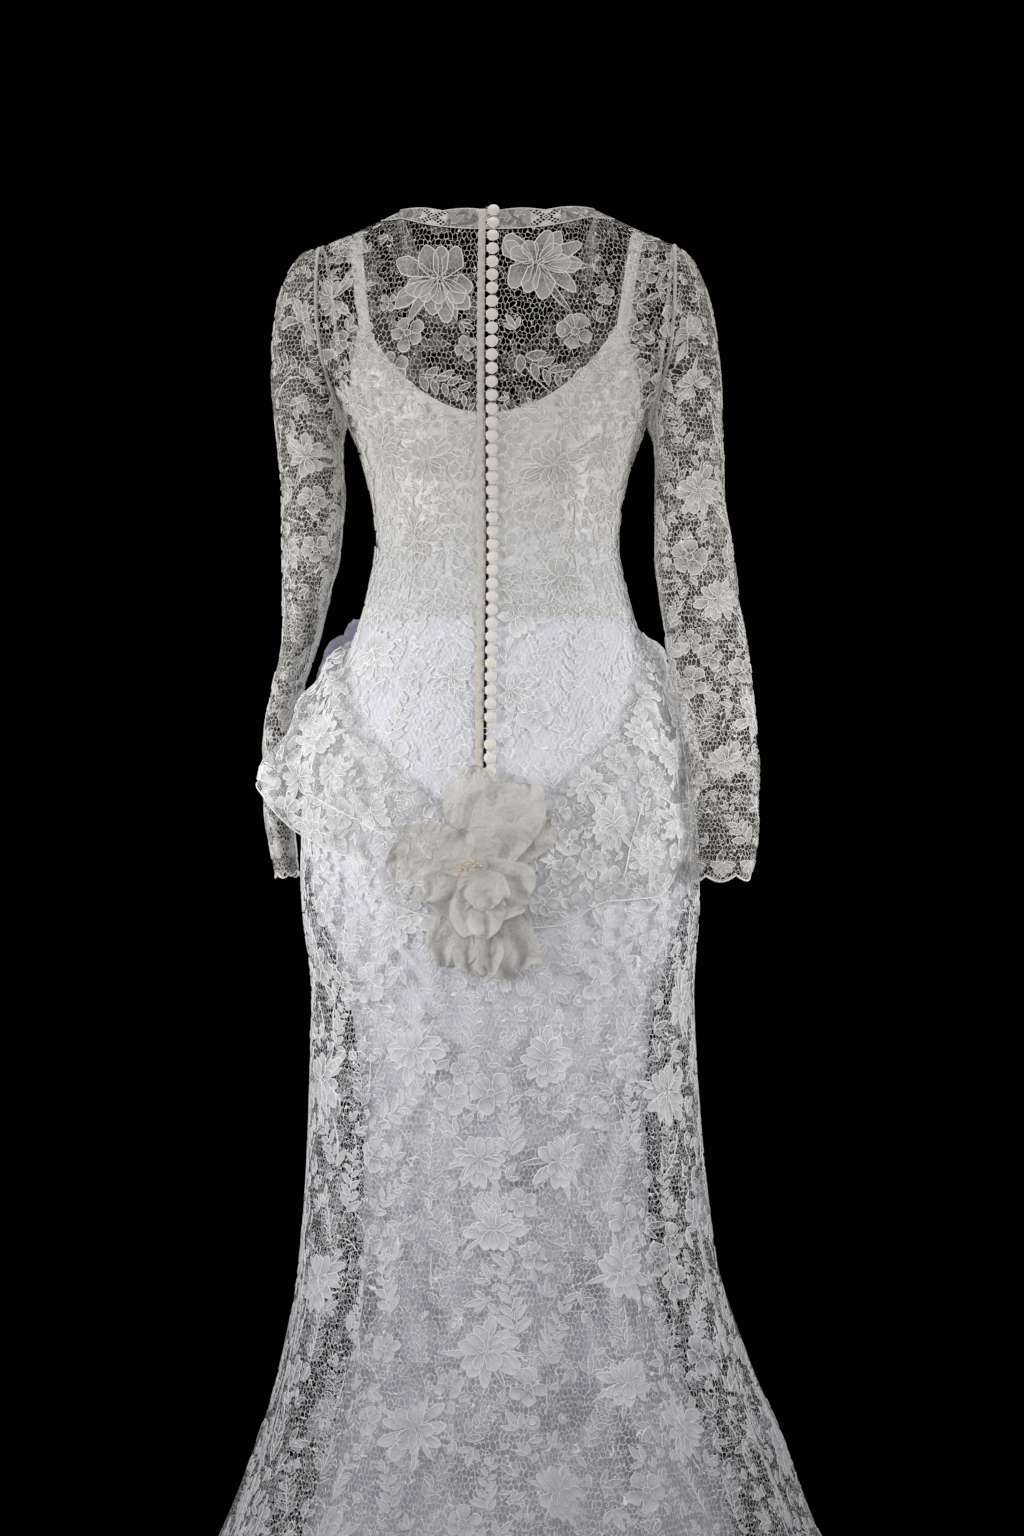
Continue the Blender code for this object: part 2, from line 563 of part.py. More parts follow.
def lace_skirt(start, end):
    """Points of a panel of the lace skirt between two seams."""
    z = skirt_rows()[:, None]
    turns = np.append(ROUND, 360)
    theta = turns[(turns >= start) & (turns <= end)][None, :] + 0 * z
    z = z + 0 * theta
    theta[:, 0] += seam_turn(z[:, 0])
    theta[:, -1] -= seam_turn(z[:, -1])
    fastened = z[:, 0] > BUTTON_LOW - BUTTON_RADIUS
    if end == 90:
        theta[fastened, -1] = turn_at(LEFT_EDGE, z[fastened, -1])
    if start == 90:
        theta[fastened, 0] = turn_at(RIGHT_EDGE, z[fastened, 0])
    return skirt_form(theta, z)


def armhole(q, side_sign):
    """The armhole's edge: q 0 is the armpit, 0.25 the back, 0.5 the shoulder and 0.75 the front."""
    t = (1 - np.cos(2 * np.pi * q)) / 2
    turn = np.where(q <= 0.5, 0.001, -0.001)
    h = ARMPIT + YOKE * np.maximum(t, 0.001)
    points = form(turn, h)
    sideways = np.maximum(outward(form, turn, h)[..., 0], 0)
    under = 1 - t
    points[..., 0] += SEAM + WALL * (ARMHOLE_SIDE * sideways + ARMHOLE_UNDER * under)
    return points * (side_sign, 1, 1)


def sleeve(name, rows, side_sign):
    """A set-in sleeve: the armhole turns into the sleeve's own sections, down to a scalloped cuff."""
    q = np.arange(2 * HIGH_CELLS) / (2 * HIGH_CELLS)
    count = len(rows["y"])
    rows = dict(rows, row=np.arange(count, dtype=float))
    s = np.concatenate([[0.0, 0.5, 1.2], np.arange(2, count)])[:, None]
    middle, reach = [], []
    for axis in "xz":
        inner, outer = at(rows, "row", "inner_" + axis, s), at(rows, "row", "outer_" + axis, s)
        middle.append((inner + outer) / 2)
        reach.append((inner - outer) / 2)
    turn = 2 * np.pi * q[None, :]
    x, z = (middle[k] + reach[k] * np.cos(turn) for k in (0, 1))
    y = at(rows, "row", "y", s) + at(rows, "row", "half_depth", s) * np.sin(turn)
    own = np.stack([x * side_sign, y, z], -1)
    blend = ramp(0, HEAD_ROWS, s)[..., None]
    points = own + (armhole(q, side_sign) - own[0]) * (1 - blend)
    points[-1, :, 2] -= CUFF_SCALLOP * np.abs(np.sin(np.pi * CUFF_SCALLOPS * q))
    return wall(name, points, "lace", closed=True, flip=side_sign < 0)


def hip_drape(name, rows, columns):
    """A gathered drape over the lace, with pleats that run to the rose."""
    theta = np.linspace(rows["theta"].min(), rows["theta"].max(), columns)[None, :]
    down = np.linspace(1, 0, 9)[:, None]
    top, hem = at(rows, "theta", "top", theta), at(rows, "theta", "hem", theta)
    z = top + (hem - top) * down
    pleat = DRAPE_PLEAT * (1 - np.cos(2 * np.pi * DRAPE_PLEATS * down))
    off = WALL + DRAPE_GAP + pleat + at(rows, "theta", "lift", theta) * down ** 2
    off = off + at(rows, "theta", "puff", theta) * np.sin(np.pi * down)
    return wall(name, moved(form, theta + 0 * z, z, off), "tulle")


def fastening(bodice, skirt, band, left):
    """The centre back edge of one side as two lines, the edge itself and the next column, from low to high."""
    edge, beside = (-1, -2) if left else (0, 1)
    band_edge_column, band_beside = (0, 1) if left else (-1, -2)
    lines = []
    for column, band_column in ((edge, band_edge_column), (beside, band_beside)):
        lines.append(np.concatenate([skirt[:, column], bodice[:, column], band[:, band_column]]))
    return lines


def on_edge(lines, x, z):
    """A point on the faces beside a fastening edge, and their outward normal."""
    def along(line, height):
        return np.array([np.interp(height, line[:, 2], line[:, axis]) for axis in range(3)])

    edge, beside = along(lines[0], z), along(lines[1], z)
    point = edge + (beside - edge) * (x - edge[0]) / (beside[0] - edge[0])
    normal = np.cross(beside - edge, along(lines[0], z + 0.002) - along(lines[0], z - 0.002))
    normal *= np.sign(normal[1]) / np.linalg.norm(normal)
    return point, normal


def loop_strip(lines):
    """The faced strip on the left back's edge that carries the button loops, up over the neck band."""
    low, high = BUTTON_LOW - BUTTON_RADIUS, TOP_OF_STRIP
    heights = [low] + [z for z in lines[0][:, 2] if low + STRIP_ROW < z < high - STRIP_ROW] + [high]
    rows = []
    for z in heights:
        row = []
        for share in (1, 0):
            point, normal = on_edge(lines, LEFT_EDGE + STRIP_WIDTH * share, z)
            row.append(point + normal * (WALL + TRIM_GAP))
        rows.append(row)
    return wall("loop_strip", np.array(rows), "lace")


def button_mesh():
    """A domed covered button on a flat back, with its axis along +Z."""
    mesh = bpy.data.meshes.new("button")
    shape = bmesh.new()
    bmesh.ops.create_uvsphere(shape, u_segments=8, v_segments=len(BUTTON_PROFILE) - 1, radius=1.0)
    levels = sorted({round(vertex.co.z, 4) for vertex in shape.verts})
    for vertex in shape.verts:
        height, spread = BUTTON_PROFILE[levels.index(round(vertex.co.z, 4))]
        out = math.hypot(vertex.co.x, vertex.co.y)
        scale = BUTTON_RADIUS * spread / out if spread else 0
        vertex.co = (vertex.co.x * scale, vertex.co.y * scale, BUTTON_HEIGHT * height)
    shape.to_mesh(mesh)
    shape.free()
    return mesh


def buttons(lines):
    """The row of buttons down the right back's edge, at an even spacing, without the missing one."""
    for place in range(1, BUTTON_PLACES + 1):
        if place == BUTTON_MISSING:
            continue
        z = BUTTON_TOP + (BUTTON_LOW - BUTTON_TOP) * (place - 1) / (BUTTON_PLACES - 1)
        point, normal = on_edge(lines, 0.0, z)
        made = add_object(f"button_{place:02d}", button_mesh(), "button")
        made.location = Vector(point + normal * (WALL + TRIM_GAP))
        made.rotation_euler = Vector(normal).to_track_quat("Z", "Y").to_euler()


def petal(row, place):
    """One closed petal. place(across, up, out) turns flower coordinates into space."""
    angle = math.radians(row["angle"])
    r = np.linspace(PETAL_ROOT, 1, PETAL_CELLS)[:, None]
    s = np.linspace(-1, 1, PETAL_CELLS + 1)[None, :]
    broad = row["width"] / 2 * np.sin(np.pi * (PETAL_NARROW + PETAL_TAPER * r)) ** PETAL_BLUNT
    tip = 1 - PETAL_ROUND * s ** 2 * r
    along, sideways = row["length"] * r * tip, broad * s
    out = PETAL_SEAT + row["rise"] + row["lift"] * r ** 1.5 + row["cup"] * s ** 2 * r
    out = out + row["ruffle"] * np.sin(PETAL_WAVES * np.pi * s + row["angle"]) * r ** 2
    across = along * math.cos(angle) - sideways * math.sin(angle)
    up = along * math.sin(angle) + sideways * math.cos(angle)
    return place(across, up, out)


def flower(name, rows, place, cloth):
    """Petals and the stem that carries them, joined into one body."""
    stem = bpy.data.meshes.new(name)
    shape = bmesh.new()
    bmesh.ops.create_uvsphere(shape, u_segments=10, v_segments=5, radius=1.0)
    for vertex in shape.verts:
        out = WALL + TRIM_GAP + (PETAL_SEAT + STEM_SINK) * (vertex.co.z + 1) / 2
        spot = place(np.array(vertex.co.x * STEM_RADIUS), np.array(vertex.co.y * STEM_RADIUS), np.array(out))
        vertex.co = spot.tolist()
    shape.to_mesh(stem)
    shape.free()
    made = add_object(name, stem, cloth)
    for index in range(len(rows["angle"])):
        row = {column: float(values[index]) for column, values in rows.items()}
        points = petal(row, place)
        leaf = wall(f"{name}_petal", points, cloth, flip=True)
        leaf.hide_render = True
        leaf.display_type = "WIRE"
        union = made.modifiers.new("petal", "BOOLEAN")
        union.operation = "UNION"
        union.object = leaf
    return made


def back_rose():
    """The organza rose at the foot of the buttons."""
    def place(across, up, out):
        x, z = ROSE_X - across, ROSE_Z + up
        theta = turn_at(x, z)
        return moved(form, theta, z, out)
    return flower("back_rose", BACK_ROSE, place, "organza")


def hip_flower():
    """The smaller flower on the left front hip."""
    def place(across, up, out):
        theta = HIP_FLOWER_TURN + np.degrees(across / HIP_FLOWER_REACH)
        return moved(form, theta, HIP_FLOWER_Z + up, out)
    return flower("hip_flower", HIP_FLOWER, place, "lilac")


def main():
    for old in list(bpy.data.objects):
        bpy.data.objects.remove(old)
    bpy.context.scene.collection.children.link(bpy.data.collections.new(NAME))
    slip_bodice()
    slip_strap("slip_strap_left", True)
    slip_strap("slip_strap_right", False)
    slip_skirt()
    backs = {left: lace_back(left) for left in (True, False)}
    skirts = {True: lace_skirt(0, 90), False: lace_skirt(90, 180)}
    band = neck_band()
    wall("lace_bodice_front", lace_front(), "lace")
    wall("lace_bodice_back_left", backs[True], "lace")
    wall("lace_bodice_back_right", backs[False], "lace")
    wall("neck_band", band, "lace", flip=True)
    wall("lace_skirt_front", lace_skirt(180, 360), "skirt_lace")
    wall("lace_skirt_back_left", skirts[True], "skirt_lace")
    wall("lace_skirt_back_right", skirts[False], "skirt_lace")
    sleeve("sleeve_left", SLEEVE_LEFT, 1)
    sleeve("sleeve_right", SLEEVE_RIGHT, -1)
    hip_drape("hip_drape_left", DRAPE_LEFT, 14)
    hip_drape("hip_drape_right", DRAPE_RIGHT, 22)
    loop_strip(fastening(backs[True], skirts[True], band, True))
    buttons(fastening(backs[False], skirts[False], band, False))
    back_rose()
    hip_flower()


main()
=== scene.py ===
"""Lace wedding gown over a satin slip: the cloth, lace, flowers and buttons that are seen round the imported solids.

Metres, +Z up. The wearer would face -Y, and the wearer's left is +X. The gown's form is one surface,
form(theta, h): theta is an angle round the body in degrees, 0 at the left side, 90 at the centre back, 180 at
the right side and 270 at the centre front, and h is the height up to the armpits, then a parameter that goes on
to the neck edge and the shoulder line. Sleeves have q round the arm, from the armpit by the back, and s down it.
"""

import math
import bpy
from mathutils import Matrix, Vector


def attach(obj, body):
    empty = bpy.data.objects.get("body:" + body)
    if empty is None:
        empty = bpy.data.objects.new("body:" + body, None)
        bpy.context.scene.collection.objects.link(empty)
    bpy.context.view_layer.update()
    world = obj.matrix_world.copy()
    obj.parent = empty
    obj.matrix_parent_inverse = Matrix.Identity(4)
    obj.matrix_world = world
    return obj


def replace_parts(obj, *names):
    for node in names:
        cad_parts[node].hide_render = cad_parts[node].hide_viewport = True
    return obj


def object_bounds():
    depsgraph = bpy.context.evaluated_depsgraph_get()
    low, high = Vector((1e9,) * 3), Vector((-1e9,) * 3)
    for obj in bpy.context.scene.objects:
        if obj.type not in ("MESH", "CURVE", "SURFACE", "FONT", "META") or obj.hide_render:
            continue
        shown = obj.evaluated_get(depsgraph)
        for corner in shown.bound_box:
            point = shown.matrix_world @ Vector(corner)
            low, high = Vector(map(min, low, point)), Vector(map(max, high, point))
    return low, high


bl_info = {
    "name": "Lace Wedding Gown",
    "version": (1, 0, 0),
    "blender": (4, 5, 0),
    "location": "3D View > Sidebar > Gown",
    "description": "Builds a lace wedding gown: satin slip, corded lace, buttons, hip drapes and fabric flowers",
    "category": "Add Mesh",
}

import bmesh
import bpy
import numpy as np
from mathutils import Vector

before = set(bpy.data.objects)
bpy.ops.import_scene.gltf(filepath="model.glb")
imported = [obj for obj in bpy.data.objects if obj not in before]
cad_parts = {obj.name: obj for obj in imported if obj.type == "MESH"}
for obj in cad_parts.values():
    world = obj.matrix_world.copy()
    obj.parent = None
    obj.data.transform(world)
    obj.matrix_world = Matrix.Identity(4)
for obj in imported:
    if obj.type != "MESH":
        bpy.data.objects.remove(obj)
CAD_BOX = [[float(x) for x in corner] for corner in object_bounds()]

# Sizes shared with the solids

WALL, SEAM, LAYER = 0.0012, 0.0004, 0.0010
LACE_MIDDLE = 0.0006       # the net lies in the middle of the lace wall
ARMPIT, YOKE = -0.195, 0.200
TOP = ARMPIT + YOKE
WAIST_SEAM, LACE_HEM, SLIP_HEM = -0.387, -1.420, -1.400
NECK_HALF, NECK_HEIGHT, NECK_CURVE, TIP_HEIGHT = 0.100, 0.026, 1.9, -0.011
BAND_BACK, BAND_FRONT, BAND_TURN, BAND_SCALLOP, BAND_SCALLOPS = 0.115, 0.300, 48.0, 0.0035, 4
BUST_OUT, BUST_APART, BUST_HEIGHT, BUST_SIZE = 0.016, 0.074, -0.240, 0.050
RIGHT_EDGE, LEFT_EDGE, STRIP_WIDTH = 0.0035, 0.0074, 0.0080
BUTTON_RADIUS, BUTTON_HEIGHT, BUTTON_PLACES, BUTTON_MISSING = 0.0062, 0.0045, 43, 40
BUTTON_TOP, BUTTON_LOW, STRIP_TOP, BUTTON_SEAT = 0.0150, -0.551, 0.0165, 0.0016
LOOP_ROOT, LOOP_LONG, LOOP_WIDE, LOOP_RADIUS = 0.0088, 0.0125, 0.0030, 0.00055
STRAP_WIDTH, STRAP_LOW_TURN, STRAP_TOP_TURN, STRAP_BOW = 0.0125, 42.2, 35.1, 1.5
STRAP_FOOT = {"back": 0.44, "front": 0.72}
SLIP_SINK, SINK_START, SINK_END = 0.0030, -0.050, 0.010
CUFF_SCALLOP, CUFF_SCALLOPS, HEAD_ROWS, CUFF = 0.006, 6, 2.0, 16     # a sleeve's s is 0 at its head and CUFF there
ARMHOLE_SIDE, ARMHOLE_UNDER = 1.2, 0.6
ROSE_X, ROSE_Z = 0.010, -0.652
CORD_UP = np.array([0.31, 0.95, 0.05])     # any direction that no cord runs along
HIP_FLOWER_TURN, HIP_FLOWER_Z, HIP_FLOWER_REACH = -36.0, -0.452, 0.150
MILLIMETRES = 1000


def table(columns, rows, unit=1):
    """Short rows with named columns, as arrays; unit is how many of its rows' units make a metre."""
    return dict(zip(columns.split(), np.array(rows, float).T / unit))


# millimetres; the first ring is at ARMPIT and the last at LACE_HEM
RINGS = table("z half_width front back shift", [
    (-195, 152.5, 112, 98, 0), (-245, 134.5, 116, 95, 0), (-285, 126.5, 108, 89, 0), (-322, 124, 98, 84, 0),
    (-360, 131.5, 102, 89, 0), (-395, 140, 108, 98, 0), (-440, 158, 116, 110, 0), (-500, 182, 124, 122, 0),
    (-560, 196.5, 129, 131, 0), (-620, 203, 132, 136, -2), (-680, 203.5, 134, 139, -3), (-780, 195.5, 136, 142, -5),
    (-860, 198, 140, 147, -6), (-950, 203.5, 149, 160, -8), (-1050, 215, 164, 190, -10),
    (-1150, 240.5, 190, 236, -17), (-1250, 277.5, 221, 300, -22.5), (-1335, 311, 250, 368, -21.5),
    (-1420, 358, 284, 446, -21),
], MILLIMETRES)
YOKE_BACK = table("t z_centre y_centre x_edge y_edge z_edge keen", [
    (0, -0.195, 0.098, 0.1525, 0, -0.195, 1), (0.2, -0.152, 0.099, 0.166, 0.031, -0.16, 0.97),
    (0.4, -0.109, 0.097, 0.176, 0.048, -0.12, 0.93), (0.6, -0.066, 0.092, 0.18, 0.05, -0.08, 0.91),
    (0.8, -0.022, 0.083, 0.181, 0.039, -0.038, 0.9), (0.92, 0.003, 0.074, 0.1805, 0.02, -0.0135, 0.9),
    (1, 0.0175, 0.068, 0.18, 0, TIP_HEIGHT, 0.9),
])
YOKE_FRONT = table("t z_centre y_centre x_edge y_edge z_edge keen", [
    (0, -0.195, -0.112, 0.1525, 0, -0.195, 1), (0.2, -0.178, -0.113, 0.16, -0.031, -0.163, 0.97),
    (0.4, -0.161, -0.112, 0.166, -0.046, -0.124, 0.93), (0.6, -0.144, -0.108, 0.17, -0.047, -0.084, 0.91),
    (0.8, -0.127, -0.104, 0.175, -0.037, -0.04, 0.9), (0.92, -0.117, -0.102, 0.178, -0.019, -0.014, 0.9),
    (1, -0.11, -0.1, 0.18, 0, TIP_HEIGHT, 0.9),
])
# theta, width of a fold, how deep it is and where it starts; ridges stand beside the folds
SKIRT_FOLDS = table("theta width depth start", [
    (48, 9, 0.02, -0.74), (69, 7, 0.026, -0.78), (107, 7, 0.028, -0.76), (138, 9, 0.022, -0.72), (10, 10, 0.02, -0.9),
    (168, 10, 0.022, -0.88), (208, 9, 0.018, -0.9), (240, 9, 0.022, -0.84), (270, 10, 0.018, -0.95),
    (300, 9, 0.022, -0.84), (332, 9, 0.018, -0.9),
])
SKIRT_RIDGES = table("theta width height start", [
    (52, 1.8, 0.006, -0.72), (63, 2.2, 0.004, -0.86), (73, 1.9, 0.006, -0.74), (82, 2, 0.003, -0.95),
    (99, 2, 0.004, -0.9), (110.5, 1.9, 0.007, -0.72), (122, 2.2, 0.004, -0.88), (141, 1.8, 0.006, -0.72),
    (35, 2.2, 0.004, -0.95), (156, 2.2, 0.004, -0.92), (222, 2.4, 0.005, -0.9), (252, 2.2, 0.006, -0.84),
    (288, 2.2, 0.006, -0.86), (316, 2.4, 0.005, -0.92),
])
# millimetres from WAIST_SEAM to SLIP_HEM: how far the slip is inside the form
SLIP_EASE = table("z side front back", [
    (-387, 0, 0, 0), (-600, 1, 0, 0), (-660, 8, 2, 1), (-730, 24, 6, 4), (-860, 50, 12, 9), (-1000, 61, 20, 20),
    (-1120, 70, 30, 42), (-1250, 78, 50, 80), (-1400, 95, 75, 150),
], MILLIMETRES)
# a sleeve's sections from its head to its cuff: its inner and outer edges, its middle in y and half its depth
SLEEVE_COLUMNS = "inner_x inner_z outer_x outer_z y half_depth"
SLEEVE_LEFT = table(SLEEVE_COLUMNS, [
    (0.156, -0.197, 0.1815, -0.0105, 0, 0.047), (0.158, -0.2005, 0.199, -0.0165, 0.001, 0.045),
    (0.1595, -0.206, 0.214, -0.0345, 0.001, 0.047), (0.1602, -0.214, 0.2255, -0.066, 0.001, 0.049),
    (0.1604, -0.226, 0.232, -0.116, 0.001, 0.05), (0.16, -0.243, 0.2305, -0.168, 0, 0.051),
    (0.1592, -0.264, 0.225, -0.225, 0, 0.048), (0.1605, -0.295, 0.2218, -0.276, 0.001, 0.045),
    (0.164, -0.33, 0.2215, -0.323, 0.002, 0.044), (0.174, -0.368, 0.2205, -0.37, 0, 0.046),
    (0.187, -0.415, 0.2225, -0.415, -0.013, 0.045), (0.204, -0.46, 0.2345, -0.46, -0.032, 0.044),
    (0.215, -0.503, 0.2455, -0.505, -0.052, 0.042), (0.219, -0.548, 0.25, -0.55, -0.068, 0.041),
    (0.2215, -0.592, 0.2495, -0.594, -0.08, 0.039), (0.2195, -0.632, 0.2435, -0.634, -0.087, 0.037),
    (0.216, -0.656, 0.239, -0.657, -0.09, 0.036),
])
SLEEVE_RIGHT = table(SLEEVE_COLUMNS, [
    (0.156, -0.197, 0.1815, -0.0105, 0, 0.047), (0.158, -0.2005, 0.1955, -0.0205, 0.001, 0.045),
    (0.16, -0.206, 0.2085, -0.044, 0.001, 0.047), (0.1618, -0.214, 0.219, -0.075, 0.001, 0.049),
    (0.1628, -0.226, 0.2262, -0.12, 0.001, 0.05), (0.1632, -0.243, 0.2297, -0.169, 0.001, 0.049),
    (0.1632, -0.264, 0.231, -0.225, 0.002, 0.044), (0.1628, -0.295, 0.233, -0.276, 0.004, 0.04),
    (0.1628, -0.33, 0.241, -0.323, 0.01, 0.036), (0.167, -0.368, 0.246, -0.37, 0.018, 0.032),
    (0.1745, -0.415, 0.254, -0.415, 0.028, 0.03), (0.1812, -0.46, 0.2602, -0.46, 0.04, 0.028),
    (0.188, -0.505, 0.2632, -0.505, 0.051, 0.026), (0.195, -0.55, 0.267, -0.55, 0.06, 0.025),
    (0.1982, -0.595, 0.2665, -0.594, 0.064, 0.024), (0.1985, -0.634, 0.2642, -0.632, 0.066, 0.024),
    (0.2, -0.656, 0.258, -0.654, 0.066, 0.024),
])
# a drape's edges, how far its hem lifts off and how far its middle puffs out
DRAPE_COLUMNS = "theta top hem lift puff"
DRAPE_LEFT = table(DRAPE_COLUMNS, [
    (-28, -0.428, -0.51, 0.004, 0.004), (-16, -0.42, -0.532, 0.006, 0.008), (-2, -0.415, -0.552, 0.014, 0.012),
    (14, -0.43, -0.572, 0.05, 0.006), (26, -0.452, -0.607, 0.028, 0.005), (38, -0.48, -0.628, 0.012, 0.007),
    (51, -0.515, -0.642, 0.009, 0.008), (55, -0.525, -0.672, 0.009, 0.008), (68, -0.56, -0.69, 0.007, 0.006),
    (82, -0.595, -0.7, 0.004, 0.003),
])
DRAPE_RIGHT = table(DRAPE_COLUMNS, [
    (98, -0.595, -0.706, 0.004, 0.003), (108, -0.57, -0.703, 0.006, 0.006), (122, -0.53, -0.68, 0.008, 0.008),
    (140, -0.48, -0.676, 0.006, 0.006), (152, -0.44, -0.648, 0.002, 0.004), (166, -0.415, -0.6, 0.002, 0.005),
    (180, -0.405, -0.575, 0.003, 0.009), (200, -0.405, -0.57, 0.01, 0.012), (240, -0.43, -0.59, 0.012, 0.008),
    (275, -0.44, -0.575, 0.01, 0.007), (316, -0.428, -0.516, 0.004, 0.004),
])
DRAPE_PLEAT, DRAPE_PLEATS, DRAPE_GAP = 0.0022, 3, 0.0010


# The gown's form

def at(rows, column, where):
    """A column of a table at any value of its first column, as a cubic that never overshoots its rows."""
    key = next(iter(rows.values()))
    order = np.argsort(key)
    x, y = key[order], rows[column][order]
    step = np.diff(x)
    slope = np.diff(y) / step
    product = slope[:-1] * slope[1:]
    inner = np.where(product > 0, 2 * product / np.where(product > 0, slope[:-1] + slope[1:], 1), 0)
    tangent = np.concatenate([slope[:1], inner, slope[-1:]])
    where = np.clip(where, x[0], x[-1])
    i = np.clip(np.searchsorted(x, where) - 1, 0, len(step) - 1)
    s = (where - x[i]) / step[i]
    bend = step[i] * ((s - 2 * s ** 2 + s ** 3) * tangent[i] + (s ** 3 - s ** 2) * tangent[i + 1])
    return y[i] + (y[i + 1] - y[i]) * (3 * s ** 2 - 2 * s ** 3) + bend


def round_turns(count):
    """Angles of count even steps round a circle."""
    return 2 * np.pi * np.arange(count) / count


def rotated(x, y, angle):
    """x and y, turned by an angle."""
    return x * np.cos(angle) - y * np.sin(angle), x * np.sin(angle) + y * np.cos(angle)


def ramp(start, end, value):
    """0 before start, 1 after end, eased between."""
    s = np.clip((value - start) / (end - start), 0, 1)
    return s * s * (3 - 2 * s)


def bust(x, z):
    """How far the two bust cups stand out of the front."""
    away = (np.abs(x) - BUST_APART) ** 2 + (z - BUST_HEIGHT) ** 2
    return BUST_OUT * np.exp(-away / (2 * BUST_SIZE ** 2))


def ring(across, deep, z, ease=None):
    """A point on the horizontal section at height z; ease takes the slip in from it."""
    half = at(RINGS, "half_width", z)
    front, back = at(RINGS, "front", z), at(RINGS, "back", z)
    if ease:
        half = half - at(ease, "side", z)
        front, back = front - at(ease, "front", z), back - at(ease, "back", z)
    x = half * across
    y = np.where(deep > 0, back, front) * deep
    y = np.where(deep < 0, y - bust(x, z) * -deep, y)
    return np.stack([x + at(RINGS, "shift", z), y, z + 0 * x], -1)


def yoke(rows, across, deep, t):
    """A point above the armpits, whose last row is the neck edge and the shoulder line."""
    side = np.abs(across)

    def row(s):
        edge, keen = at(rows, "y_edge", s), at(rows, "keen", s)
        flat = np.sqrt(1 - keen ** 2)
        central = (np.sqrt(1 - (keen * side) ** 2) - flat) / (1 - flat)
        low, high = at(rows, "z_centre", s), at(rows, "z_edge", s)
        return (edge + (at(rows, "y_centre", s) - edge) * central, low + (high - low) * side ** 2)

    y, z = row(t)
    y_last, z_last = row(np.ones_like(t))
    reach = rows["x_edge"][-1] * side
    neck = np.minimum(reach / NECK_HALF, 1)
    fall = (TIP_HEIGHT - NECK_HEIGHT) / (rows["x_edge"][-1] - NECK_HALF)
    y_top = rows["y_centre"][-1] * np.sqrt(1 - neck ** 2)
    z_top = rows["z_centre"][-1] + (NECK_HEIGHT - rows["z_centre"][-1]) * neck ** NECK_CURVE
    z_top = z_top + fall * np.maximum(reach - NECK_HALF, 0)
    blend = t ** 3
    x = at(rows, "x_edge", t) * across
    y, z = y + blend * (y_top - y_last), z + blend * (z_top - z_last)
    y = np.where(deep < 0, y - bust(x, z) * np.abs(deep) * (1 - t), y)
    return np.stack([x, y, z], -1)


def form(theta, h):
    """A point of the gown's form; see the top of the file."""
    theta, h = np.broadcast_arrays(np.asarray(theta, float), np.asarray(h, float))
    turn = np.radians(theta)
    across, deep = np.cos(turn), np.sin(turn)
    low = ring(across, deep, np.minimum(h, ARMPIT))
    t = np.clip((h - ARMPIT) / YOKE, 0, 1)
    high = np.where((deep >= 0)[..., None], yoke(YOKE_BACK, across, deep, t), yoke(YOKE_FRONT, across, deep, t))
    return np.where((h <= ARMPIT)[..., None], low, high)


def fold_depth(folds, theta, z, grown=None):
    """Depth of soft folds: each is depth exp(-(a / width) ** 2) at an angle a from it, eased in from its start down
    to grown below it, or to the hem."""
    total = 0 * theta * z
    for angle, width, depth, start in zip(*folds.values()):
        away = (theta - angle + 180) % 360 - 180
        total = total + depth * np.exp(-(away / width) ** 2) * ramp(start, start - grown if grown else LACE_HEM, z)
    return total


def drawn_in(points, theta, depth):
    """Points moved towards the middle by a depth, level."""
    turn = np.radians(theta)
    return points - depth[..., None] * np.stack([np.cos(turn), np.sin(turn), 0 * turn], -1)


def skirt_form(theta, z):
    """The lace skirt: the form with its vertical folds, and ridges beside them."""
    depth = fold_depth(SKIRT_FOLDS, theta, z) - fold_depth(SKIRT_RIDGES, theta, z, 0.22)
    return drawn_in(form(theta, z), theta, depth)


def slip_form(theta, z):
    """The slip skirt, inside the lace."""
    turn = np.radians(theta)
    return ring(np.cos(turn), np.sin(turn), z, SLIP_EASE)


def outward(surface, theta, h):
    """Unit normal of a surface, away from the body."""
    e_turn, e_h = 0.05, 0.0004
    round_it = surface(theta + e_turn, h) - surface(theta - e_turn, h)
    up = surface(theta, np.minimum(h + e_h, TOP)) - surface(theta, h - e_h)
    normal = np.cross(round_it, up)
    return normal / np.linalg.norm(normal, axis=-1, keepdims=True)


def moved(surface, theta, h, distance):
    """Points of a surface, moved out by a distance, or in where it is negative."""
    theta, h = np.broadcast_arrays(np.asarray(theta, float), np.asarray(h, float))
    return surface(theta, h) + outward(surface, theta, h) * np.asarray(distance)[..., None]


def seam_turn(z):
    """Half a seam's gap as an angle at height z."""
    return np.degrees(SEAM / 2 / at(RINGS, "front", np.minimum(z, ARMPIT)))


def turn_at(x, h):
    """theta on the back where the form passes x, near the centre."""
    half = np.where(h <= ARMPIT, at(RINGS, "half_width", np.minimum(h, ARMPIT)),
                    at(YOKE_BACK, "x_edge", np.clip((h - ARMPIT) / YOKE, 0, 1)))
    shift = at(RINGS, "shift", np.minimum(h, ARMPIT))
    return 90 - np.degrees(np.arcsin((x - shift) / half))


def band_edge(theta, back):
    """h where the neck band's lower edge runs; TOP past the place where it crosses the shoulder."""
    share = BAND_BACK if back else BAND_FRONT
    along = np.minimum(np.abs(theta - (90 if back else 270)) / (90 - BAND_TURN), 1)
    return TOP - YOKE * share * (1 - along ** 3)


def under_lace(h):
    """How far the inside of the slip is from the form, which is the inside of the lace."""
    return LAYER + WALL + SLIP_SINK * ramp(ARMPIT + SINK_START, ARMPIT + SINK_END, h)


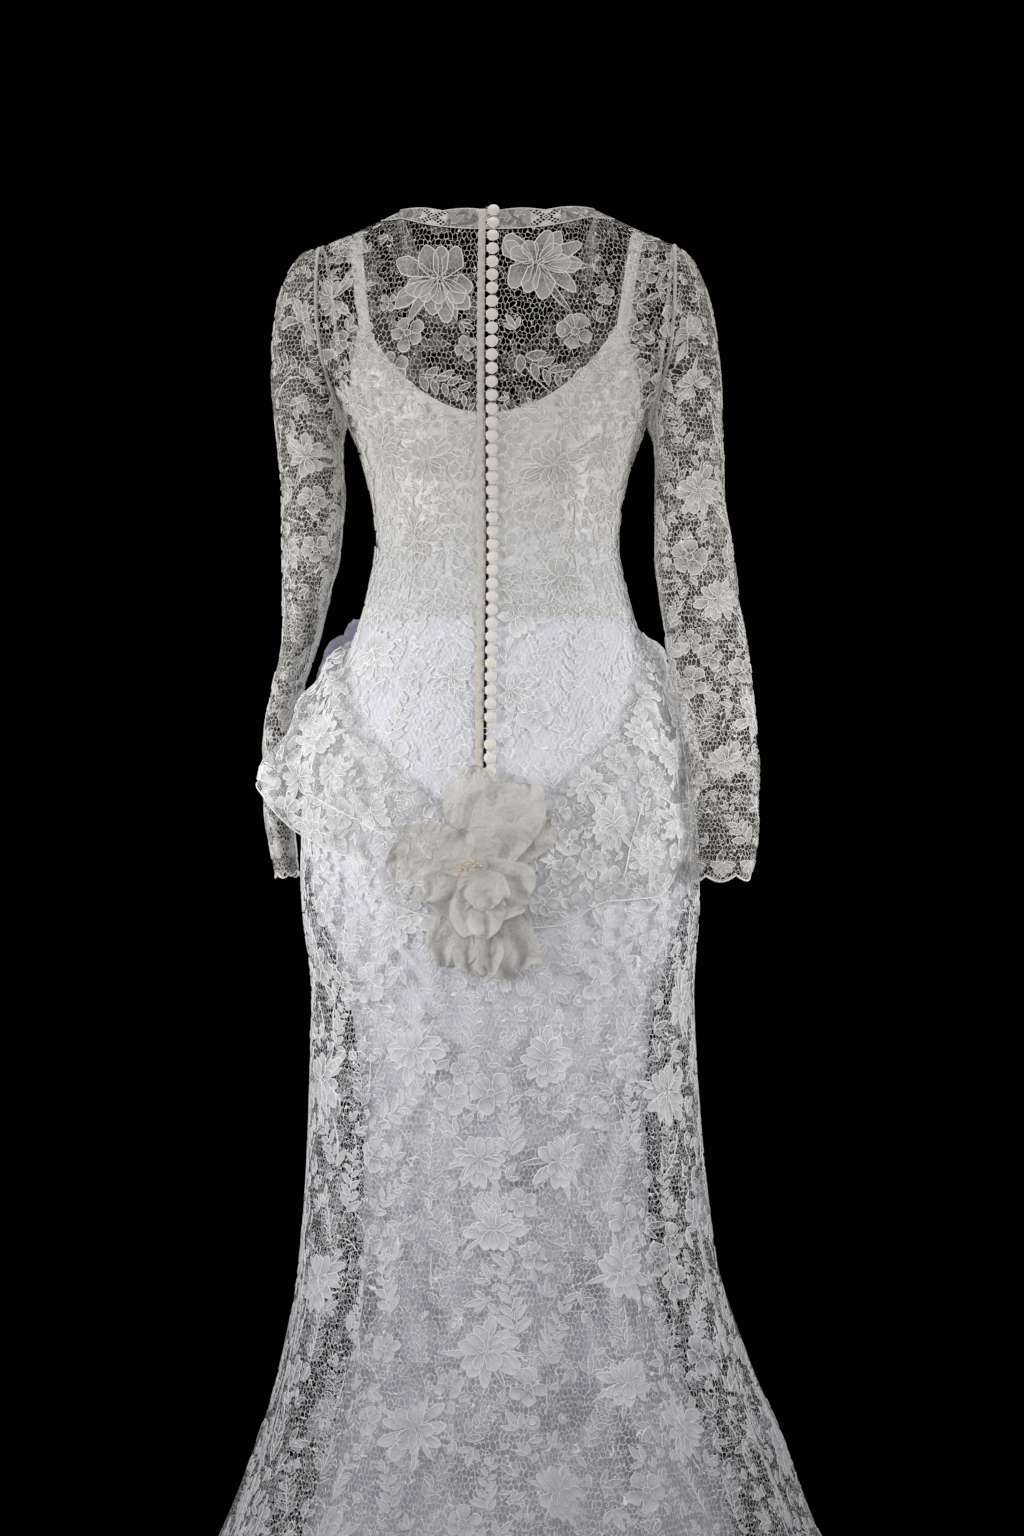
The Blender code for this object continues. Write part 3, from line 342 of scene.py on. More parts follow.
def armhole(q, side_sign):
    """The armhole's edge: q 0 is the armpit, 0.25 the back, 0.5 the shoulder and 0.75 the front."""
    t = (1 - np.cos(2 * np.pi * q)) / 2
    turn = np.where(q <= 0.5, 0.001, -0.001)
    h = ARMPIT + YOKE * np.maximum(t, 0.001)
    points = form(turn, h)
    sideways = np.maximum(outward(form, turn, h)[..., 0], 0)
    points[..., 0] += SEAM + WALL * (ARMHOLE_SIDE * sideways + ARMHOLE_UNDER * (1 - t))
    return points * (side_sign, 1, 1)


def sleeve_form(rows, side_sign, q, s):
    """A point of a sleeve: s 0 is the armhole, which turns into the sleeve's own sections, and CUFF the cuff."""
    last = len(rows["y"]) - 1
    rows = dict(row=np.arange(last + 1, dtype=float), **rows)

    def own(s):
        middle, reach = [], []
        for axis in "xz":
            inner, outer = at(rows, "inner_" + axis, s), at(rows, "outer_" + axis, s)
            middle.append((inner + outer) / 2)
            reach.append((inner - outer) / 2)
        turn = 2 * np.pi * q
        x, z = (middle[k] + reach[k] * np.cos(turn) for k in (0, 1))
        y = at(rows, "y", s) + at(rows, "half_depth", s) * np.sin(turn)
        return np.stack([x * side_sign, y, z + 0 * x], -1)

    blend = ramp(0, HEAD_ROWS, s)[..., None]
    points = own(s) + (armhole(q % 1, side_sign) - own(0 * s)) * (1 - blend)
    points[..., 2] -= CUFF_SCALLOP * np.abs(np.sin(np.pi * CUFF_SCALLOPS * q)) * ramp(last - 1.2, last, s)
    return points


# Cloth as a grid that can be read anywhere

class Cloth:
    """A surface of two parameters u and v on an even grid, read between its points. outside is 1 where rising u
    crossed with rising v looks out, and -1 where it looks in."""

    def __init__(self, surface, u_range, v_range, cells, outside=1):
        u, v = np.linspace(*u_range, cells[0] + 1), np.linspace(*v_range, cells[1] + 1)
        self.start, self.step = (u[0], v[0]), (u[1] - u[0], v[1] - v[0])
        self.points = surface(*np.meshgrid(u, v))
        self.along_u = np.gradient(self.points, self.step[0], axis=1)
        self.along_v = np.gradient(self.points, self.step[1], axis=0)
        normal = np.cross(self.along_u, self.along_v)
        self.normal = outside * normal / np.linalg.norm(normal, axis=-1, keepdims=True)

    def read(self, field, u, v):
        """A field of the grid at (u, v), blended from the four points round it."""
        a = np.clip((u - self.start[0]) / self.step[0], 0, field.shape[1] - 1.001)
        b = np.clip((v - self.start[1]) / self.step[1], 0, field.shape[0] - 1.001)
        j, i = a.astype(int), b.astype(int)
        s, t = (a - j)[..., None], (b - i)[..., None]
        return ((field[i, j] * (1 - s) + field[i, j + 1] * s) * (1 - t)
                + (field[i + 1, j] * (1 - s) + field[i + 1, j + 1] * s) * t)

    def place(self, u, v, off=0.0):
        """Points off above the cloth."""
        return self.read(self.points, u, v) + self.read(self.normal, u, v) * np.asarray(off)[..., None]

    def walk(self, u, v, x, y):
        """Parameters of what lies x to the right and y up from (u, v), measured on the cloth seen from outside."""
        along, up, normal = (self.read(f, u, v) for f in (self.along_u, self.along_v, self.normal))
        length = np.linalg.norm(along, axis=-1)
        right = along / length[..., None]
        upward = np.cross(normal, right)
        rise = y / (up * upward).sum(-1)
        return u + (x - (up * right).sum(-1) * rise) / length, v + rise


# Meshes

def build(name, points, faces, cloth_uv=None, marks=None):
    """A mesh object from arrays: points (n, 3), faces a list of (m, 3) or (m, 4) arrays, cloth_uv (n, 2) in
    metres on the flat cloth, and marks, named numbers on the points."""
    points = np.asarray(points, np.float32).reshape(-1, 3)
    corners = np.concatenate([f.ravel() for f in faces]).astype(np.int32)
    sizes = np.concatenate([np.full(len(f), f.shape[1]) for f in faces])
    starts = np.concatenate([[0], np.cumsum(sizes)[:-1]]).astype(np.int32)
    mesh = bpy.data.meshes.new(name)
    mesh.vertices.add(len(points))
    mesh.vertices.foreach_set("co", points.ravel())
    mesh.loops.add(len(corners))
    mesh.loops.foreach_set("vertex_index", corners)
    mesh.polygons.add(len(starts))
    mesh.polygons.foreach_set("loop_start", starts)
    mesh.update(calc_edges=True)
    if cloth_uv is not None:
        layer = mesh.uv_layers.new(name="cloth")
        layer.data.foreach_set("uv", np.asarray(cloth_uv, np.float32).reshape(-1, 2)[corners].ravel())
    for mark, values in (marks or {}).items():
        mesh.attributes.new(mark, "FLOAT", "POINT").data.foreach_set("value", np.asarray(values, np.float32).ravel())
    mesh.validate()
    mesh.shade_smooth()
    made = bpy.data.objects.new(name, mesh)
    bpy.context.scene.collection.objects.link(made)
    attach(made, "root")
    return made


def grid_faces(rows, columns, closed=False, flip=False):
    """The quads of a grid; they look out where the rows go up and the columns go round."""
    i, j = np.meshgrid(np.arange(rows - 1), np.arange(columns if closed else columns - 1), indexing="ij")
    after = (j + 1) % columns
    corners = [i * columns + j, i * columns + after, (i + 1) * columns + after, (i + 1) * columns + j]
    return np.stack(corners[::-1] if flip else corners, -1).reshape(-1, 4)


def joined(grids, flip=False):
    """The points and faces of several grids as one mesh."""
    points, faces, start = [], [], 0
    for grid in grids:
        faces.append(grid_faces(*grid.shape[:2], flip=flip) + start)
        points.append(grid.reshape(-1, 3))
        start += len(points[-1])
    return np.concatenate(points), faces


def lay_flat(points):
    """Lengths along each row from its middle and up each column, in metres: the cloth's own coordinates."""
    columns = points.shape[1]
    middle = columns // 2
    along = np.linalg.norm(np.diff(points, axis=1), axis=-1)
    u = np.concatenate([np.zeros((len(points), 1)), np.cumsum(along, 1)], 1)
    down = np.linalg.norm(np.diff(points, axis=0), axis=-1)
    v = np.concatenate([np.zeros((1, columns)), np.cumsum(down, 0)])
    return np.stack([u - u[:, middle:middle + 1], v], -1)


def cloth_piece(name, points, flip=False, thickness=0.0, grain=None):
    """A sheet of cloth on rows of points, with a thickness on its inner side if one is given. With a grain, its
    threads run level and upright from that column on: along is the level length from it, and up is the height."""
    flat = lay_flat(points)
    if grain is not None:
        level = np.linalg.norm(np.diff(points[..., :2], axis=1), axis=-1)
        level = np.concatenate([np.zeros((len(points), 1)), np.cumsum(level, 1)], 1)
        flat = np.stack([level - level[:, grain][:, None], points[..., 2]], -1)
    made = build(name, points, [grid_faces(*points.shape[:2], flip=flip)], flat)
    if thickness:
        solid = made.modifiers.new("thickness", "SOLIDIFY")
        solid.thickness, solid.offset = thickness, -1.0
    return made


def tube(paths, radius, sides=5):
    """Points and faces of cords along paths (count, n, 3): a ring of points round each place of each path,
    turned with the path, and capped by closing its first and last ring to a point."""
    count, n = paths.shape[:2]
    ahead = np.gradient(paths, axis=1)
    ahead /= np.linalg.norm(ahead, axis=-1, keepdims=True)
    up = np.cross(ahead, CORD_UP)
    up /= np.linalg.norm(up, axis=-1, keepdims=True)
    side = np.cross(ahead, up)
    turn = round_turns(sides)
    taper = np.ones(n)
    taper[[0, -1]] = 0.05
    around = up[:, :, None] * np.cos(turn)[:, None] + side[:, :, None] * np.sin(turn)[:, None]
    rings = paths[:, :, None] + radius * taper[None, :, None, None] * around
    return rings.reshape(-1, 3), repeated(grid_faces(n, sides, closed=True, flip=True), count, n * sides)


def repeated(faces, count, points):
    """The faces of one of count equal meshes of so many points each, for all of them."""
    return (faces[None] + (np.arange(count) * points)[:, None, None]).reshape(-1, faces.shape[-1])


# Lace motifs
# A motif is a set of leaves: closed outlines with a raised cord round a thinner filling. Each leaf is a row:
# x y angle: its root and direction on the motif; length width: its size; widest: above 1 it is widest towards the
# tip; blunt: below 1 its ends are round; bend: how it curves; rise: height over the net; dense: how full it is;
# sheer: how much thinner it is towards its root.

CORD, CORD_HEIGHT, FILL_HEIGHT = 0.0012, 0.0009, 0.0003    # a cord's width round a petal of 16 mm, and heights
OUTLINES = ((0.0, 0.011, 8), (0.011, 0.022, 10), (0.022, 1.0, 12))      # shortest, longest, points round a leaf


def leaves(x, y, angle, length, width, widest=1.0, blunt=1.0, bend=0.0, rise=0.0, dense=0.6, sheer=0.4):
    """Rows of leaves from numbers or arrays."""
    return np.stack(np.broadcast_arrays(*(np.asarray(a, float) for a in
                    (x, y, angle, length, width, widest, blunt, bend, rise, dense, sheer))), -1).reshape(-1, 11)


def scaled(r, x, y, angle, length, width, **shape):
    """Leaves whose roots and sizes are shares of a motif's radius r."""
    return leaves(*(np.multiply(value, r) for value in (x, y)), angle, np.multiply(length, r),
                  np.multiply(width, r), **shape)


def full_flower(r, rng, dense):
    """A many-petalled flower of radius r, seen from its side: a tall cup of lobes towards +y, two rows of petals that
    fan out from its root on the other sides, and narrow leaves between them."""
    def fanned(count, spread, root, length, width, **shape):
        angle = -np.pi / 2 + spread * np.linspace(-1, 1, count) + rng.normal(0, 0.13, count)
        size = 1 + rng.uniform(-0.24, 0.20, count)
        return leaves(root * r * np.cos(angle), root * r * np.sin(angle), angle, length * r * size,
                      width * r * (1 + rng.uniform(-0.15, 0.15, count)), bend=rng.uniform(-6, 6, count), **shape)

    return np.concatenate([
        fanned(6, 2.25, 0.22, 0.92, 0.20, widest=0.85, blunt=0.9, dense=dense * rng.choice([0.3, 0.8], 6), sheer=0.1),
        fanned(8, 1.85, 0.10, 0.84, 0.36, widest=1.5, blunt=0.6, rise=0.0003, dense=dense, sheer=0.95),
        fanned(5, 1.25, 0.04, 0.58, 0.34, widest=1.5, blunt=0.55, rise=0.0008, dense=dense, sheer=0.95),
        scaled(r, [-0.06, 0.06, 0], -0.04, np.pi / 2 + np.array([0.36, -0.36, 0]), [0.74, 0.70, 0.66],
               [0.42, 0.42, 0.34], widest=1.2, blunt=0.6, bend=[-7, 7, 0], rise=[0.0009, 0.0009, 0.0014],
               dense=dense, sheer=0.8),
    ])


def five_petals(r, rng, dense):
    """A small flower of five round petals, each a little different, and a middle."""
    angle = rng.uniform(0, 2 * np.pi) + round_turns(5) + rng.normal(0, 0.14, 5)
    size, root = 1 + rng.uniform(-0.16, 0.16, 5), 0.14 * r
    petals = leaves(root * np.cos(angle), root * np.sin(angle), angle + rng.normal(0, 0.14, 5), (r - root) * size,
                    0.80 * r * (1 + rng.uniform(-0.16, 0.16, 5)), widest=1.5, blunt=0.5, rise=0.0002, dense=dense,
                    sheer=0.8)
    return np.concatenate([petals, scaled(r, -0.21, 0, 0, 0.42, 0.42, blunt=0.5, rise=0.0008, dense=0.3, sheer=0)])


def leaf_spray(r, rng, dense):
    """A curved stem of length 2 r with pairs of leaves that shrink towards its tip."""
    pairs = 5
    along = np.linspace(-0.75, 0.72, pairs) * r
    curve = rng.uniform(-0.25, 0.25) / r
    stem = curve * (along ** 2 - r ** 2 / 2)
    slope = np.arctan(2 * curve * along)
    size = np.linspace(0.62, 0.36, pairs) * r
    thin = rng.choice([0.35, 1.0], 2)
    rows = [leaves(-r, curve * r ** 2 / 2, np.arctan(-2 * curve * r), 1.9 * r, 0.0017, bend=curve, dense=1.0, sheer=0)]
    for side in (1, -1):
        rows.append(leaves(along + side * 0.07 * r, stem, slope + side * rng.uniform(0.7, 1.0, pairs),
                           size * rng.uniform(0.85, 1.15, pairs), size * 0.50, widest=0.9, blunt=0.8,
                           bend=side * 9.0, rise=0.0002, dense=dense * thin[side], sheer=0.2))
    rows.append(leaves(0.80 * r, stem[-1], slope[-1], 0.42 * r, 0.20 * r, widest=0.9, rise=0.0002, dense=dense))
    return np.concatenate(rows)


def sprig(r, rng, dense):
    """Three leaves from one root."""
    return scaled(r, -0.8, 0, np.array([-0.75, 0, 0.75]) + rng.normal(0, 0.15, 3), [1.25, 1.7, 1.25],
                  [0.55, 0.62, 0.55], widest=0.95, blunt=0.8, bend=[8, rng.uniform(-8, 8), -8],
                  dense=dense * rng.choice([0.5, 1.0]))


def bud(r, _, dense):
    """One closed bud with a small leaf."""
    return scaled(r, [-1, -0.6], 0, [0, 1], [1.9, 1.1], [0.95, 0.5], widest=1.2, blunt=0.7, rise=[0.0002, 0],
                  dense=dense)


def rosette(r, _, dense):
    """A round disc with a smaller one on it."""
    return scaled(r, [-1, -0.45], 0, 0, [2, 0.9], [2, 0.9], blunt=0.5, rise=[0, 0.0006], dense=[dense * 0.7, 1],
                  sheer=0)


def tendril(r, rng, dense):
    """Two thin stems that curl away from one another, with a small bud at one end."""
    bend = rng.uniform(12, 26, 2) * rng.choice([-1, 1])
    return np.concatenate([
        leaves(0, 0, [0, 2.6], np.array([1.0, 0.9]) * r, 0.0019, bend=bend, dense=1.0, sheer=0),
        scaled(r, 0.95, 0, rng.uniform(-0.6, 0.6), 0.42, 0.28, blunt=0.7, dense=dense)])


def fan(r, rng, dense):
    """Five petals that spread down from one root: one scallop of an edge."""
    angle = -np.pi / 2 + np.array([-1.15, -0.58, 0.0, 0.58, 1.15]) + rng.normal(0, 0.04, 5)
    return scaled(r, 0, 0, angle, [0.85, 0.95, 1.0, 0.95, 0.85], 0.46, widest=1.4, blunt=0.55, rise=0.0002,
                  dense=dense, sheer=0.5)


MOTIFS = {"full": full_flower, "five": five_petals, "spray": leaf_spray, "sprig": sprig, "bud": bud,
          "rosette": rosette, "tendril": tendril, "fan": fan}


def leaf_pattern(points):
    """Faces of one leaf: three rings of points and a spine that both its sides share."""
    i = np.arange(points)
    after = (i + 1) % points
    rings = [np.stack([k * points + i, k * points + after, (k + 1) * points + after, (k + 1) * points + i], -1)
             for k in (0, 1)]
    spine = np.minimum(np.arange(points + 1), points - np.arange(points + 1))
    rings.append(np.stack([2 * points + i, 2 * points + after, 3 * points + spine[1:], 3 * points + spine[:-1]], -1))
    return np.concatenate(rings)


def leaf_points(rows, points):
    """Local x, y, height, rim and fill of every leaf's points. With a the share of the length, the outline goes round
    as x = length (1 - cos f) / 2 and y = width / 2 sin(pi a ** widest) ** blunt, a little wavy where blunt. The rings
    inside it are the same outline, drawn in by half a cord and by a cord. The fill is dense
    (1 - sheer exp(-(a / 0.6) ** 2))."""
    x0, y0, angle, length, width, widest, blunt, bend, rise, dense, sheer = (c[:, None] for c in rows.T)
    f = round_turns(points)[None]
    a = (1 - np.cos(f)) / 2
    half = width / 2 * np.sin(np.pi * np.clip(a, 0.001, 0.999) ** widest) ** blunt
    half = half * (1 + 0.15 * np.sin(11 * a + 7 * angle) * (blunt < 0.7))
    side = -np.sign(np.sin(f)) * (np.abs(np.sin(f)) > 1e-6)
    xs, ys, hs, rims = [], [], [], []
    for inset, height, rim in ((0.0, 0.0, 1.0), (0.5, CORD_HEIGHT, 1.0), (1.0, FILL_HEIGHT, 0.0)):
        cord = np.minimum(CORD * (0.75 + 16 * length) * inset, 0.30 * width)
        xs.append(length / 2 + (a - 0.5) * (length - 2 * cord))
        ys.append(half * side * (1 - 2 * cord / width))
        hs.append(height + 0 * xs[-1])
        rims.append(rim + 0 * xs[-1])
    spine = a[:, :points // 2 + 1]
    xs.append(length / 2 + (spine - 0.5) * length * 0.62)
    ys.append(0 * xs[-1])
    hs.append(FILL_HEIGHT * 1.6 + 0 * xs[-1])
    rims.append(0 * xs[-1])
    x, y = np.concatenate(xs, 1), np.concatenate(ys, 1)
    fill = dense * (1 - sheer * np.exp(-(x / length / 0.6) ** 2))
    y = y + bend * x * (x - length)
    x, y = rotated(x, y, angle)
    return x0 + x, y0 + y, np.concatenate(hs, 1) + rise, np.concatenate(rims, 1), fill


def lace_motifs(name, cloth, placed, seed, off=LACE_MIDDLE, inside=None):
    """One joined mesh of all motifs that placed lists as (kind, u, v, radius, turn, dense). inside(u, v) says
    where the cloth is; a leaf that leaves it is dropped."""
    rng = np.random.default_rng(seed)
    rows, us, vs = [], [], []
    for kind, u, v, radius, turn, dense in placed:
        motif = MOTIFS[kind](radius, rng, dense)
        motif[:, 0], motif[:, 1] = rotated(motif[:, 0], motif[:, 1], turn)
        motif[:, 2] += turn
        rows.append(motif)
        us.append(np.full(len(motif), u))
        vs.append(np.full(len(motif), v))
    rows, u, v = np.concatenate(rows), np.concatenate(us), np.concatenate(vs)
    u, v = cloth.walk(u, v, rows[:, 0], rows[:, 1])
    rows[:, :2] = 0
    parts, faces, start = [], [], 0
    for shortest, longest, points in OUTLINES:
        chosen = (rows[:, 3] >= shortest) & (rows[:, 3] < longest)
        if not chosen.any():
            continue
        x, y, height, rim, fill = leaf_points(rows[chosen], points)
        pu, pv = cloth.walk(u[chosen, None] + 0 * x, v[chosen, None] + 0 * x, x, y)
        good = inside(pu, pv).all(1) if inside else np.ones(len(pu), bool)
        where = cloth.place(pu, pv, off + height)
        span = np.linalg.norm(where[:, points // 2] - where[:, 0], axis=-1) / rows[chosen, 3]
        good &= (span > 0.6) & (span < 1.15)
        pu, where, rim, fill = (a[good] for a in (pu, where, rim, fill))
        parts.append([where.reshape(-1, 3), rim.ravel(), fill.ravel()])
        faces.append(start + repeated(leaf_pattern(points), len(pu), pu.shape[1]))
        start += pu.size
    where, rim, fill = (np.concatenate(column) for column in zip(*parts))
    return build(name, where, faces, marks={"rim": rim, "dense": fill})


def scatter(cloth, u_range, v_range, kinds, seed, inside, first=(), packing=1.0):
    """Motifs all over a cloth by dart throwing: each kind in turn falls where it clears all earlier ones. kinds
    are (kind, radius, spread, tries, most, dense, turn, turn_noise)."""
    rng = np.random.default_rng(seed)
    placed = list(first)
    room = len(placed) + sum(kind[4] for kind in kinds)
    spots, radii = np.full((room, 3), 99.0), np.zeros(room)
    for k, motif in enumerate(placed):
        spots[k], radii[k] = cloth.place(np.array(motif[1]), np.array(motif[2])), motif[3]
    for kind, radius, spread, tries, most, dense, turn, turn_noise in kinds:
        u, v = rng.uniform(*u_range, tries), rng.uniform(*v_range, tries)
        size = radius * rng.uniform(1 - spread, 1 + spread, tries)
        where = cloth.place(u, v)
        angles = turn + rng.normal(0, turn_noise, tries)
        last = len(placed) + most
        for k in np.flatnonzero(inside(u, v)):
            n = len(placed)
            if n >= last:
                break
            gap = spots[:n] - where[k]
            if ((gap * gap).sum(1) < (packing * (radii[:n] + size[k])) ** 2).any():
                continue
            placed.append((kind, u[k], v[k], size[k], angles[k], dense))
            spots[n], radii[n] = where[k], size[k]
    return placed


def site(cloth, kind, x, z, radius, turn, dense):
    """A motif at a place given by its x and z on the side of a cloth that faces the back."""
    away = (cloth.points[..., 0] - x) ** 2 + (cloth.points[..., 2] - z) ** 2 + np.where(cloth.normal[..., 1] > 0, 0, 1)
    i, j = np.unravel_index(np.argmin(away), away.shape)
    return (kind, cloth.start[0] + cloth.step[0] * j, cloth.start[1] + cloth.step[1] * i, radius, turn, dense)


# Materials

BAND_WIDE, LADDER_PITCH = 0.0235, 0.066                          # the neck border and its crosses
LADDER_REACH, LADDER_SLOPE, LADDER_APART, LADDER_HALF, SLOT = 0.0160, 1.45, 0.0032, 0.0024, 0.0058
NET_TALL = 1.4                                                   # how much taller than wide a hexagon of the net is
VINE_LEVEL, VINE_OTHER = 0.62, 0.43                              # the noise levels that the net's fine cords follow


class Value:
    """A number in a material. Sums, products and comparisons of values become its Math nodes."""

    def __init__(self, tree, socket):
        self.tree, self.socket = tree, socket

    def do(self, operation, *others):
        """The Math node of this value and others."""
        node = self.tree.nodes.new("ShaderNodeMath")
        node.operation = operation
        for place, value in zip(node.inputs, (self, *others)):
            if isinstance(value, Value):
                self.tree.links.new(value.socket, place)
            else:
                place.default_value = value
        return Value(self.tree, node.outputs[0])

    def __add__(self, other):
        return self.do("ADD", other)

    def __sub__(self, other):
        return self.do("SUBTRACT", other)

    def __mul__(self, other):
        return self.do("MULTIPLY", other)

    def __truediv__(self, other):
        return self.do("DIVIDE", other)

    def __mod__(self, other):
        return self.do("FLOORED_MODULO", other)

    def __gt__(self, other):
        return self.do("GREATER_THAN", other)

    def __lt__(self, other):
        return self.do("LESS_THAN", other)

    def __or__(self, other):
        return self.do("MAXIMUM", other)

    def __abs__(self):
        return self.do("ABSOLUTE")


class Fabric:
    """A new material: a Principled shader with fixed numbers, and patterns that are linked to it."""

    def __init__(self, name, colour, roughness, sheen):
        self.material = bpy.data.materials.new(name)
        self.material.use_nodes = True
        self.tree = self.material.node_tree
        self.shader = shader = self.tree.nodes["Principled BSDF"]
        shader.inputs["Base Color"].default_value = (*colour, 1)
        shader.inputs["Roughness"].default_value = roughness
        shader.inputs["Metallic"].default_value = 0.0
        shader.inputs["Sheen Weight"].default_value = sheen
        shader.inputs["Sheen Roughness"].default_value = 0.4
        shader.inputs["Sheen Tint"].default_value = (1, 1, 1, 1)

    def node(self, kind, inputs, **settings):
        """A node with settings, whose inputs are set to numbers and colours or linked to sockets."""
        made = self.tree.nodes.new(kind)
        for key, value in settings.items():
            setattr(made, key, value)
        for name, value in inputs.items():
            if isinstance(value, bpy.types.NodeSocket):
                self.tree.links.new(value, made.inputs[name])
            else:
                made.inputs[name].default_value = value
        return made

    def link(self, name, socket):
        """Give the shader's input of that name what a socket gives."""
        self.tree.links.new(socket, self.shader.inputs[name])

    def spot(self):
        """Object coordinates."""
        return self.node("ShaderNodeTexCoord", {}).outputs["Object"]

    def noise(self, scale, detail=2.0, distortion=0.0):
        """Noise on Object coordinates, as a number from 0 to 1."""
        inputs = {"Scale": scale, "Detail": detail, "Distortion": distortion, "Vector": self.spot()}
        return Value(self.tree, self.node("ShaderNodeTexNoise", inputs).outputs["Fac"])

    def cloth_xy(self):
        """The cloth's own coordinates in metres, from its UV map."""
        uv = self.node("ShaderNodeUVMap", {}, uv_map="cloth")
        split = self.node("ShaderNodeSeparateXYZ", {"Vector": uv.outputs[0]})
        return Value(self.tree, split.outputs[0]), Value(self.tree, split.outputs[1])

    def mark(self, name):
        """A named number of the mesh's points."""
        return Value(self.tree, self.node("ShaderNodeAttribute", {}, attribute_name=name).outputs["Fac"])

    def alpha(self, value):
        """Opacity from a value."""
        self.link("Alpha", value.socket)

    def bump(self, height, distance, strength):
        """Fine relief from a height."""
        inputs = {"Distance": distance, "Strength": strength, "Height": height.socket}
        self.link("Normal", self.node("ShaderNodeBump", inputs).outputs[0])

    def blend(self, low, high, factor, **settings):
        """A blend of two colours."""
        inputs = {"A": low, "B": high, "Factor": factor}
        return self.node("ShaderNodeMix", inputs, data_type="RGBA", **settings).outputs["Result"]

    def tint(self, low, high, factor, painted_light_by_height=None):
        """The base colour as a blend of two. A change with height (tint, z where it is full, z where it ends)
        multiplies it; this is painted light: the cloth turns cooler or darker downwards as the light on it would.
        """
        colour = self.blend((*low, 1), (*high, 1), factor.socket)
        if painted_light_by_height:
            tint, full, none = painted_light_by_height
            z = self.node("ShaderNodeSeparateXYZ", {"Vector": self.spot()}).outputs[2]
            inputs = {"From Min": full, "From Max": none, "To Min": 1.0, "To Max": 0.0, "Value": z}
            share = self.node("ShaderNodeMapRange", inputs).outputs[0]
            colour = self.blend(colour, (*tint, 1), share, blend_type="MULTIPLY")
        self.link("Base Color", colour)


def mesh_net(x, y, pitch, thread):
    """1 on the threads of a hexagonal net, 0 in its holes: where the distance to the nearest of two sets of hexagon
    middles is half the pitch, less half a thread."""
    tall = math.sqrt(3.0)
    offsets = []
    for shift in (0.0, 0.5):
        across = abs((x / pitch + shift) % 1.0 - 0.5)
        upward = abs((y / pitch + shift * tall) % tall - tall / 2)
        offsets.append(across | across * 0.5 + upward * (tall / 2))
    return offsets[0].do("MINIMUM", offsets[1]) > 0.5 - thread / pitch / 2


def net_cloth(name, colour, pitch, thread, patch=0.14, vines=0.004, haze=0.0):
    """Uneven hexagonal net, see-through in its holes, taller than wide, with sheer patches where a noise is high and
    fine cords along two of that noise's contour lines."""
    made = Fabric(name, colour, 0.8, 0.2)
    x, y = made.cloth_xy()
    uneven = pitch * 1.4
    x, y = x + made.noise(110.0, 1.0) * uneven, y / NET_TALL + made.noise(90.0, 1.0) * uneven
    field = made.noise(60.0, 0.6, 0.8)
    cords = (abs(field - VINE_LEVEL) < vines) | (abs(field - VINE_OTHER) < vines * 0.7)
    made.alpha(mesh_net(x, y, pitch, thread) | cords | (field > VINE_LEVEL) * patch + haze)
    made.tint(shade_of(colour, 0.92), colour, cords)
    made.bump(cords, 0.0006, 0.6)


def motif_cloth(name, low, high, painted_light_by_height):
    """Corded lace: solid cord, thinner filling with fine threads, and colour that varies a little. The cord is light
    and the filling darker, partly their own colours and partly painted shade for the cords' relief.
    """
    made = Fabric(name, high, 0.62, 0.3)
    rim, threads = made.mark("rim"), made.noise(750.0, 1.0)
    # light cord, darker filling: partly the lace's own colours, partly painted shade for the cords' relief
    made.tint(low, high, rim * 0.65 + made.noise(30.0) * 0.35, painted_light_by_height)
    filling = made.mark("dense") * (threads * 0.7 + 0.65)
    made.alpha(((rim > 0.35) | filling).do("MINIMUM", 1.0))
    made.bump(threads, 0.0005, 0.6)


def border_cloth(name, low, high):
    """The neck border: close lace with crosses of small open ladders, on its own coordinates u along and v across.
    A ladder is where | |u| - 1.45 |v| +- 3 mm | is small, and its open slots are a fine wave of |u| + |v|."""
    made = Fabric(name, high, 0.7, 0.2)
    x, y = made.cloth_xy()
    u = abs((x + LADDER_PITCH / 2) % LADDER_PITCH - LADDER_PITCH / 2)
    v = abs(y - BAND_WIDE / 2)
    near = u < LADDER_REACH
    arm = abs(abs(u - v * LADDER_SLOPE) - LADDER_APART) < LADDER_HALF
    holes = near * arm * (((u + v) * (2 * math.pi / SLOT)).do("SINE") > -0.5)
    threads, field = made.noise(330.0, 3.0), made.noise(120.0, 0.5, 0.6)
    close = threads * 0.6 + near * 0.4 + (field > 0.5) * 0.15
    made.alpha((close | (abs(field - 0.5) < 0.014)) * (holes < 0.5))
    made.tint(low, high, threads)
    made.bump(threads, 0.0006, 0.7)


def satin_cloth(name, low, high, painted_light_by_height):
    """Slip satin: smooth, softly shining, with a hardly seen weave."""
    made = Fabric(name, high, 0.42, 0.25)
    made.tint(low, high, made.noise(5.0), painted_light_by_height)
    made.bump(made.noise(420.0, 3.0), 0.0003, 0.25)


def plain_cloth(name, low, high, roughness, scale, relief=0.0004):
    """A fine close cloth, such as that of the covered buttons."""
    made = Fabric(name, high, roughness, 0.3)
    made.tint(low, high, made.noise(scale, 3.0))
    made.bump(made.noise(700.0, 2.0), relief, 0.5)


def petal_cloth(name, low, high, alpha):
    """Crisp sheer organza: fine crossed threads on the petal's own coordinates, paler where its tone is high."""
    made = Fabric(name, high, 0.55, 0.35)
    x, y = ((value * 5200.0).do("SINE") for value in made.cloth_xy())
    weave = x * y
    mottle = made.noise(45.0, 3.0) + (made.noise(420.0, 2.0) - 0.5)
    made.tint(low, high, made.mark("tone") * 0.7 + mottle * 0.45)
    made.alpha(weave * 0.07 + alpha)
    creases = abs(made.noise(70.0, 3.0, 0.4) - 0.5)
    made.bump(weave * 0.05 + creases * -6.0 + made.noise(300.0, 2.0), 0.0012, 0.8)


